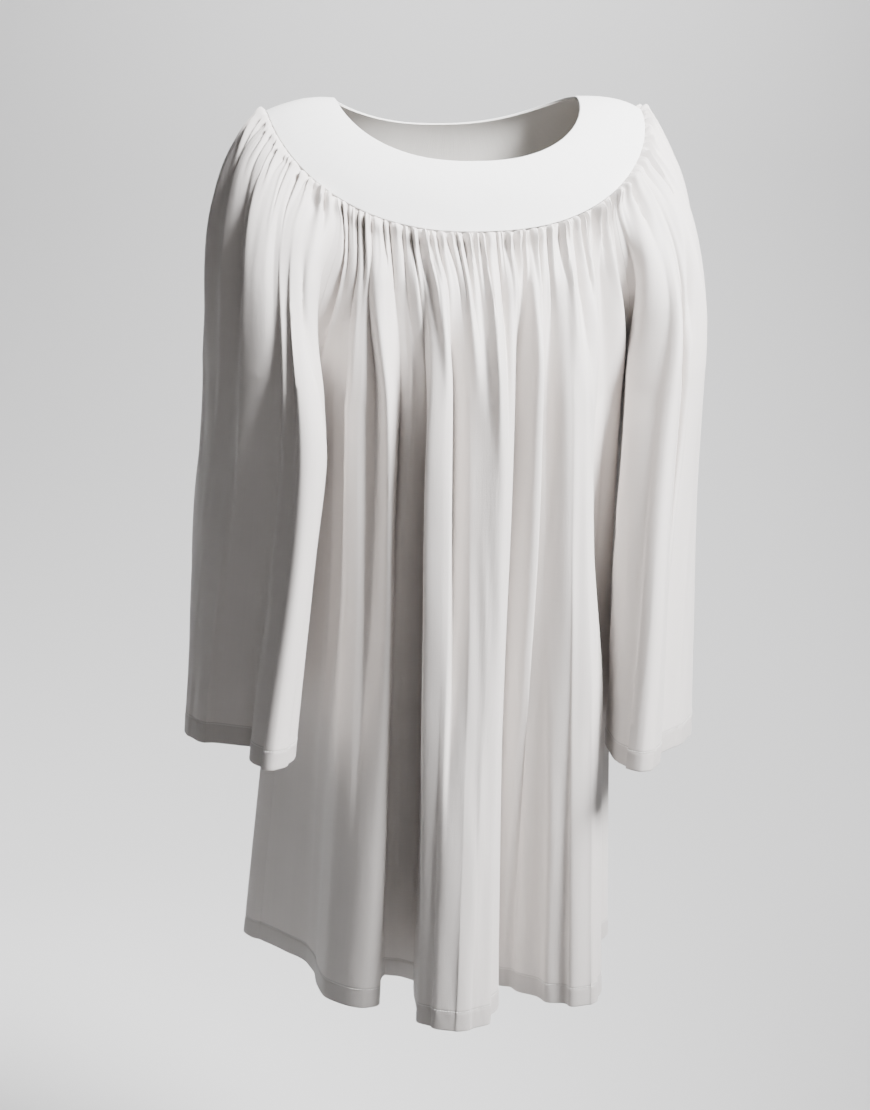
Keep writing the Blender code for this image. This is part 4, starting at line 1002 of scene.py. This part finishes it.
# Each sleeve's plan at each level: centre, half thickness, half length front to back, turn and squareness
SLEEVE_COLUMNS = "down centre_x centre_y half_thick half_long turn round"
SLEEVE_LEFT = table(SLEEVE_COLUMNS, [
    (0.00, 206, 10, 42, 105, 6, 2.3),
    (0.37, 196, 10, 38, 126, 8, 2.3),
    (0.65, 206, 14, 36, 124, 12, 2.2),
    (1.00, 219, 16, 36, 116, 10, 2.2),
])
SLEEVE_RIGHT = table(SLEEVE_COLUMNS, [
    (0.00, 198, 10, 36, 105, 0, 2.3),
    (0.37, 202, 10, 38, 122, 10, 2.3),
    (0.65, 194, -8, 38, 126, 17, 2.2),
    (1.00, 184, -28, 38, 130, 23, 2.2),
])
SLEEVE_LEFT_FOLDS = table(FOLD_COLUMNS, [
    (-1, -180, 0, 0),
    (-0.945, -134, -2, 4),
    (-0.888, -92, 6, 4),
    (-0.849, -79, 20, 3),
    (-0.798, -64, 10, 5),
    (-0.678, -30, -24, 5),
    (-0.427, -12, 10, 3),
    (-0.0857, 2, 17, 3),
    (0.343, 24, 6, 4),
    (0.678, 52, -12, 6),
    (0.849, 86, 12, 7),
    (0.939, 126, -10, 5),
    (1, 180, 0, 0),
])
SLEEVE_RIGHT_FOLDS = table(FOLD_COLUMNS, [
    (-1, -180, 0, 0),
    (-0.945, -134, -4, 4),
    (-0.879, -94, 10, 4),
    (-0.849, -85, 22, 3),
    (-0.805, -66, 12, 4),
    (-0.726, -52, -8, 4),
    (-0.548, -30, 5, 3),
    (-0.257, -12, 13, 3),
    (0.0857, 10, 11, 3),
    (0.427, 36, -6, 5),
    (0.726, 62, 12, 6),
    (0.86, 90, -10, 6),
    (0.939, 126, 8, 5),
    (1, 180, 0, 0),
])
SLEEVE_LEFT_CREASES = table(CREASE_COLUMNS, [
    (-0.932, 0, 18, 0.049, 0.049, 0.00, 0.18, 0.70),
    (-0.888, 0, 8, 0.03, 0.03, 0.05, 0.34, 1.10),
    (-0.798, 0, -10, 0.037, 0.037, 0.06, 0.36, 1.20),
    (-0.566, 0, 8, 0.091, 0.091, 0.02, 0.24, 0.85),
    (-0.321, 0, -6, 0.085, 0.085, 0.04, 0.28, 0.70),
    (0.043, 0, 6, 0.107, 0.107, 0.03, 0.22, 0.60),
    (0.427, 0, -7, 0.105, 0.105, 0.05, 0.30, 0.80),
    (0.726, 0, 7, 0.054, 0.054, 0.03, 0.26, 0.70),
    (0.854, 0, -8, 0.032, 0.032, 0.05, 0.34, 0.90),
    (0.962, 0, 14, 0.03, 0.03, 0.00, 0.14, 0.50),
    (-0.869, -0.145, -4.5, 0.01, 0.008, 0.08, 0.28, 0.52),
    (-0.825, -0.032, 3, 0.013, 0.009, 0.10, 0.35, 0.90),
    (-0.715, 0.034, -2.6, 0.018, 0.016, 0.12, 0.40, 1.10),
    (-0.469, -0.082, 3.6, 0.061, 0.029, 0.05, 0.30, 1.10),
    (-0.214, 0.107, 2.2, 0.034, 0.03, 0.08, 0.24, 0.60),
    (0.171, -0.086, -2.4, 0.034, 0.034, 0.10, 0.36, 0.90),
    (0.584, 0.071, 2.6, 0.032, 0.025, 0.06, 0.28, 0.80),
    (0.798, -0.022, 3, 0.018, 0.01, 0.10, 0.40, 1.10),
    (0.904, 0.016, 2.4, 0.007, 0.007, 0.12, 0.36, 0.85),
])
SLEEVE_RIGHT_CREASES = table(CREASE_COLUMNS, [
    (-0.939, 0, 24, 0.050, 0.050, 0.00, 0.24, 1.10),
    (-0.860, 0, 9, 0.026, 0.026, 0.06, 0.34, 1.20),
    (-0.790, 0, -9, 0.031, 0.031, 0.06, 0.36, 1.20),
    (-0.584, 0, 7, 0.088, 0.088, 0.03, 0.24, 0.70),
    (-0.214, 0, -6, 0.107, 0.107, 0.04, 0.28, 0.80),
    (0.129, 0, 7, 0.107, 0.107, 0.02, 0.20, 0.55),
    (0.509, 0, -7, 0.099, 0.099, 0.05, 0.34, 0.85),
    (0.765, 0, 8, 0.045, 0.045, 0.03, 0.26, 0.70),
    (0.879, 0, -8, 0.027, 0.027, 0.05, 0.34, 0.95),
    (0.965, 0, 14, 0.029, 0.029, 0.00, 0.14, 0.50),
    (-0.825, 0.19, -3.6, 0.01, 0.01, 0.08, 0.24, 0.44),
    (-0.618, -0.586, -3.4, 0.026, 0.026, 0.06, 0.22, 0.42),
    (-0.731, 0, 4.2, 0.03, 0.011, 0.10, 0.42, 1.10),
    (-0.427, 0.084, 2.8, 0.033, 0.046, 0.06, 0.28, 0.75),
    (-0.107, -0.064, 2.6, 0.034, 0.034, 0.12, 0.40, 0.95),
    (0.300, 0.086, -2.4, 0.038, 0.034, 0.08, 0.30, 0.80),
    (0.650, -0.044, 2.8, 0.027, 0.027, 0.06, 0.30, 0.85),
    (0.825, 0.019, 3, 0.015, 0.009, 0.10, 0.40, 1.10),
    (0.919, -0.014, 2.2, 0.006, 0.006, 0.12, 0.34, 0.80),
])

# Each side's sleeve: its levels, folds, creases, cuff, the number that varies its gathers, and how
# many times sooner they die out than the body's
SLEEVE_SHAPES = {
    1: (SLEEVE_RIGHT, SLEEVE_RIGHT_FOLDS, SLEEVE_RIGHT_CREASES, CUFF_DROP_RIGHT, 2.0, 1.6),
    -1: (SLEEVE_LEFT, SLEEVE_LEFT_FOLDS, SLEEVE_LEFT_CREASES, CUFF_DROP_LEFT, -2.0, 2.3),
}


def sleeve_plan(angle, down, levels):
    """A sleeve's plain plan at a level, at an angle from its outer side towards its back."""
    centre_x, centre_y, half_thick, half_long, turn, power = at_level(levels, down)
    x, y, out_x, out_y = oval(angle + math.pi / 2, half_thick, half_long, power)
    turn = np.radians(-turn)
    cosine, sine = np.cos(turn), np.sin(turn)
    return (centre_x + cosine * x - sine * y, centre_y + sine * x + cosine * y,
            cosine * out_x - sine * out_y, sine * out_x + cosine * out_y)


def fallen(length, slope):
    """How far cloth has dropped after a length that leaves on a slope and ends hanging plumb."""
    def height(share):
        upright = np.sqrt(1.0 - share * share)
        return np.arctanh(np.minimum(upright, 1.0 - 1e-12)) - upright
    now = np.maximum(slope * np.exp(-length / SHOULDER_REACH), 1e-5)
    return SHOULDER_REACH * (height(now) - height(slope))


def loose_sleeve(cloth, down, levels, folds, creases, cuff_drop, seed, sooner):
    """A sleeve before it is sewn, as on the right side: cloth -1 is its front edge, 1 its back."""
    seam = yoke_seam(np.radians(90.0 + (90.0 - RAGLAN_ANGLE) * cloth))
    head = -YOKE_SIDE_DROP - (RAGLAN_DROP - YOKE_SIDE_DROP) * np.abs(cloth) ** 1.7
    slope = SHOULDER_SLOPE - ARMHOLE_SLOPE * np.abs(cloth) ** 1.5
    far = 8.0 * SHOULDER_REACH
    whole = head + cuff_drop + far - fallen(far, slope)
    length = whole * down
    settle = 1.0 - ease(down / SLEEVE_UNDERARM)
    z = head - fallen(length, slope) + (seam[..., 2] - head) * settle

    swayed = sway(cloth, down, seed)
    hung = spread(cloth, SLEEVE_SPREAD, 180.0, SLEEVE_FLARE)
    hung = hung + (curve(swayed, folds["cloth"], folds["turn"]) - hung) * ease(down)
    seam_turn = SLEEVE_ANGLE * cloth
    angle = np.radians(seam_turn + (hung - seam_turn) * opening(cloth, down / SLEEVE_UNDERARM))
    x, y, out_x, out_y = sleeve_plan(angle, down, levels)
    full = 1.0 - np.exp(-whole * SLEEVE_UNDERARM / SHOULDER_REACH)
    away = np.minimum((1.0 - np.exp(-length / SHOULDER_REACH)) / full, 1.0)
    x = seam[..., 0] + (x - seam[..., 0]) * away
    y = seam[..., 1] + (y - seam[..., 1]) * away

    quiet = ease((1.0 - np.abs(cloth)) / QUIET_EDGE)
    small = gathers(cloth, sooner * length, SLEEVE_GATHERS, seed)
    small = small + SLEEVE_PIPES / sooner * pipes(swayed, 0.8 * down, SLEEVE_GATHERS, seed) * quiet
    small = small + crease_folds(swayed, down, creases) + wear(cloth, down, seed)
    big_out, big_side = hem_folds(swayed, folds)
    growth = down ** SLEEVE_GROWTH
    lean = slope * np.exp(-length / SHOULDER_REACH)
    outward = small * np.sqrt(1.0 - lean * lean) + big_out * growth
    x = x + outward * out_x - big_side * growth * out_y
    y = y + outward * out_y + big_side * growth * out_x
    return np.stack([x, y, z + small * lean], -1)


def keep_clear(point, down, distance, side):
    """Moves a sleeve's inner side just clear of the body's, from its distance to their seam."""
    level = np.clip((-point[..., 2] - RAGLAN_DROP) / (HEM_DROP - RAGLAN_DROP), 0.0, 1.0)
    across, middle, front, back, side_y, power = at_level(BODY, level)
    along = np.where(point[..., 1] < side_y, side_y - front, back - side_y)
    share = np.clip(np.abs(point[..., 1] - side_y) / along, 0.0, 1.0)
    limit = side * middle + across * (1.0 - share ** power) ** (1.0 / power)
    limit = limit + SLEEVE_CLEAR * (1.0 - np.exp(-distance / CLEAR_REACH))
    short = np.maximum(limit + CLEAR_SOFT - point[..., 0], 0.0)
    push = short * short / (short + CLEAR_SOFT) * ease((down - 0.05) / 0.2)
    return point + push[..., None] * np.array([1.0, 0.0, 0.0])


def sleeve_point(cloth, down, side):
    """A sleeve with its edges on the armhole seams, closed under the arm (side 1 right, -1 left)."""
    shape = SLEEVE_SHAPES[side]
    mirror = np.array([side, 1.0, 1.0])
    point = loose_sleeve(cloth, down, *shape)
    above = np.minimum(down, SLEEVE_UNDERARM)
    below = (down - above) * CUFF_DROP_LEFT
    radius = CREASE_RADIUS * ease(above / (CREASE_START * SLEEVE_UNDERARM))
    round_arm = spread(cloth, SLEEVE_SPREAD, 180.0, SLEEVE_FLARE) / 180.0
    for end in (-1.0, 1.0):
        edge = np.full_like(cloth, end)
        soft = UNDERARM_SOFT * np.clip((1.0 - end * cloth) / SOFT_REACH, SOFT_LEAST, 1.0)
        level = SLEEVE_UNDERARM - soft * np.logaddexp(0.0, (SLEEVE_UNDERARM - down) / soft)
        level = np.where(end * cloth > 0.999, above, np.maximum(level, 0.0))
        own = loose_sleeve(edge, level, *shape)
        sewn = body_point(side * np.ones_like(cloth), level / SLEEVE_UNDERARM * UNDERARM_DOWN, -end)
        near = ease((end * cloth - (1.0 - SEAM_PULL)) / SEAM_PULL)
        near = near * np.exp(-((below / UNDERARM_PULL) ** 1.6))
        beside = (1.0 - end * round_arm) * SLEEVE_HALF_CLOTH
        shift = sewn * mirror - own
        shift[..., 0] += radius - turn_in(np.hypot(beside, below), radius)
        point = point + shift * near[..., None]
    distance = np.hypot((1.0 - np.abs(round_arm)) * SLEEVE_HALF_CLOTH, below)
    return keep_clear(point, down, distance, side) * mirror


for name, node, side in (("right_sleeve", "sleeve_right", 1), ("left_sleeve", "sleeve_left", -1)):
    cuff_drop = SLEEVE_SHAPES[side][3]
    point = partial(sleeve_point, side=side)
    # Painted shade on the sleeve's doubled cuff hem, as on the body's
    hem_shade = (cuff_drop - HEM_DEPTH, HEM_PAINTED_SHADE)
    sleeve_cloth = woven(name + "_polycotton", WHITE, **BODY_FINISH, hem_shade=hem_shade)
    rows = hanging_rows(SLEEVE_GATHERS, SLEEVE_EDGE_CLOTH, SLEEVE_UNDERARM, cuff_drop)
    seam_turn = (90.0 * side, (90.0 - RAGLAN_ANGLE) * side)
    piece = hanging_piece(name, rows, point, side, seam_turn, cuff_drop, SLEEVE_FLAT_HALF, sleeve_cloth)
    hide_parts(node)
    hem = stitches(name + "_stitches", on_hem(point, cuff_drop, side), thread)

# The studio
# A pale paper floor that sweeps up into a backdrop, lit by large soft lamps: the main one high at the
# viewer's right, a weak one low in front, one above, and one on the backdrop. Its sizes are in metres.
FLOOR_Z = -1.42
FLOOR_FRONT_Y = -6.0
FLOOR_HALF_WIDTH = 6.0
BACKDROP_Y = 3.0
BACKDROP_TOP = 4.0
SWEEP_RADIUS = 1.2
PAPER_GREY = (0.58, 0.58, 0.577, 1.0)
ROOM_WARM = (1.0, 0.90, 0.84, 1.0)
ROOM_LIGHT = 0.05
LAMP_WHITE = (0.985, 0.985, 1.0)

bend = np.linspace(0.0, math.pi / 2, 16)
profile = [(FLOOR_FRONT_Y, FLOOR_Z)]
profile += [(BACKDROP_Y - SWEEP_RADIUS * (1.0 - math.sin(a)), FLOOR_Z + SWEEP_RADIUS * (1.0 - math.cos(a)))
            for a in bend]
profile += [(BACKDROP_Y, BACKDROP_TOP)]
corners = [(x, y, z) for y, z in profile for x in (-FLOOR_HALF_WIDTH, FLOOR_HALF_WIDTH)]
faces = [(2 * i, 2 * i + 1, 2 * i + 3, 2 * i + 2) for i in range(len(profile) - 1)]
sweep = bpy.data.meshes.new("floor")
sweep.from_pydata(corners, [], faces)
sweep.shade_smooth()
paper = bpy.data.materials.new("floor_paper")
paper.use_nodes = True
paper_shader = paper.node_tree.nodes["Principled BSDF"]
paper_shader.inputs["Base Color"].default_value = PAPER_GREY
paper_shader.inputs["Roughness"].default_value = 0.9
sweep.materials.append(paper)
floor = bpy.data.objects.new("floor", sweep)
bpy.context.scene.collection.objects.link(floor)

sky = bpy.data.worlds.new("studio")
sky.use_nodes = True
background = sky.node_tree.nodes["Background"]
background.inputs["Color"].default_value = ROOM_WARM
background.inputs["Strength"].default_value = ROOM_LIGHT
bpy.context.scene.world = sky

# Each lamp's name, place, the point that it is aimed at, its size, its spread in degrees and its power
lamps = [
    ("key", (1.55, -1.75, 2.0), (0.05, 0.0, -0.16), 1.15, 40.0, 43.0),
    ("fill", (-0.3, -2.8, 0.6), (0.0, 0.0, -0.4), 1.2, 60.0, 1.2),
    ("top", (0.5, -0.6, 1.6), (0.0, 0.0, -0.2), 1.0, 70.0, 1.5),
    ("backdrop", (1.0, 1.2, 1.4), (0.75, 2.3, -0.8), 0.9, 140.0, 118.0),
]
for name, place, aim, size, spread_angle, power in lamps:
    lamp = bpy.data.lights.new(name, "AREA")
    lamp.size = size
    lamp.energy = power
    lamp.color = LAMP_WHITE
    lamp.spread = math.radians(spread_angle)
    light = bpy.data.objects.new(name, lamp)
    light.location = place
    across, away, rise = np.array(aim) - np.array(place)
    light.rotation_euler = (math.atan2(math.hypot(across, away), -rise), 0.0, -math.atan2(across, away))
    bpy.context.scene.collection.objects.link(light)

# The camera, at the photo's angle: from the viewer's left, at neck height, looking down a little
CAMERA_PLACE = (-0.558, -2.0825, 0.049)
CAMERA_TILT = 12.858
CAMERA_TURN = -14.367
CAMERA_LENS = 72.49

lens = bpy.data.cameras.new("camera")
lens.sensor_fit = "VERTICAL"
lens.sensor_height = 36.0
lens.lens = CAMERA_LENS
camera = bpy.data.objects.new("camera", lens)
camera.location = CAMERA_PLACE
camera.rotation_euler = (math.radians(90.0 - CAMERA_TILT), 0.0, math.radians(CAMERA_TURN))
bpy.context.scene.collection.objects.link(camera)
bpy.context.scene.camera = camera
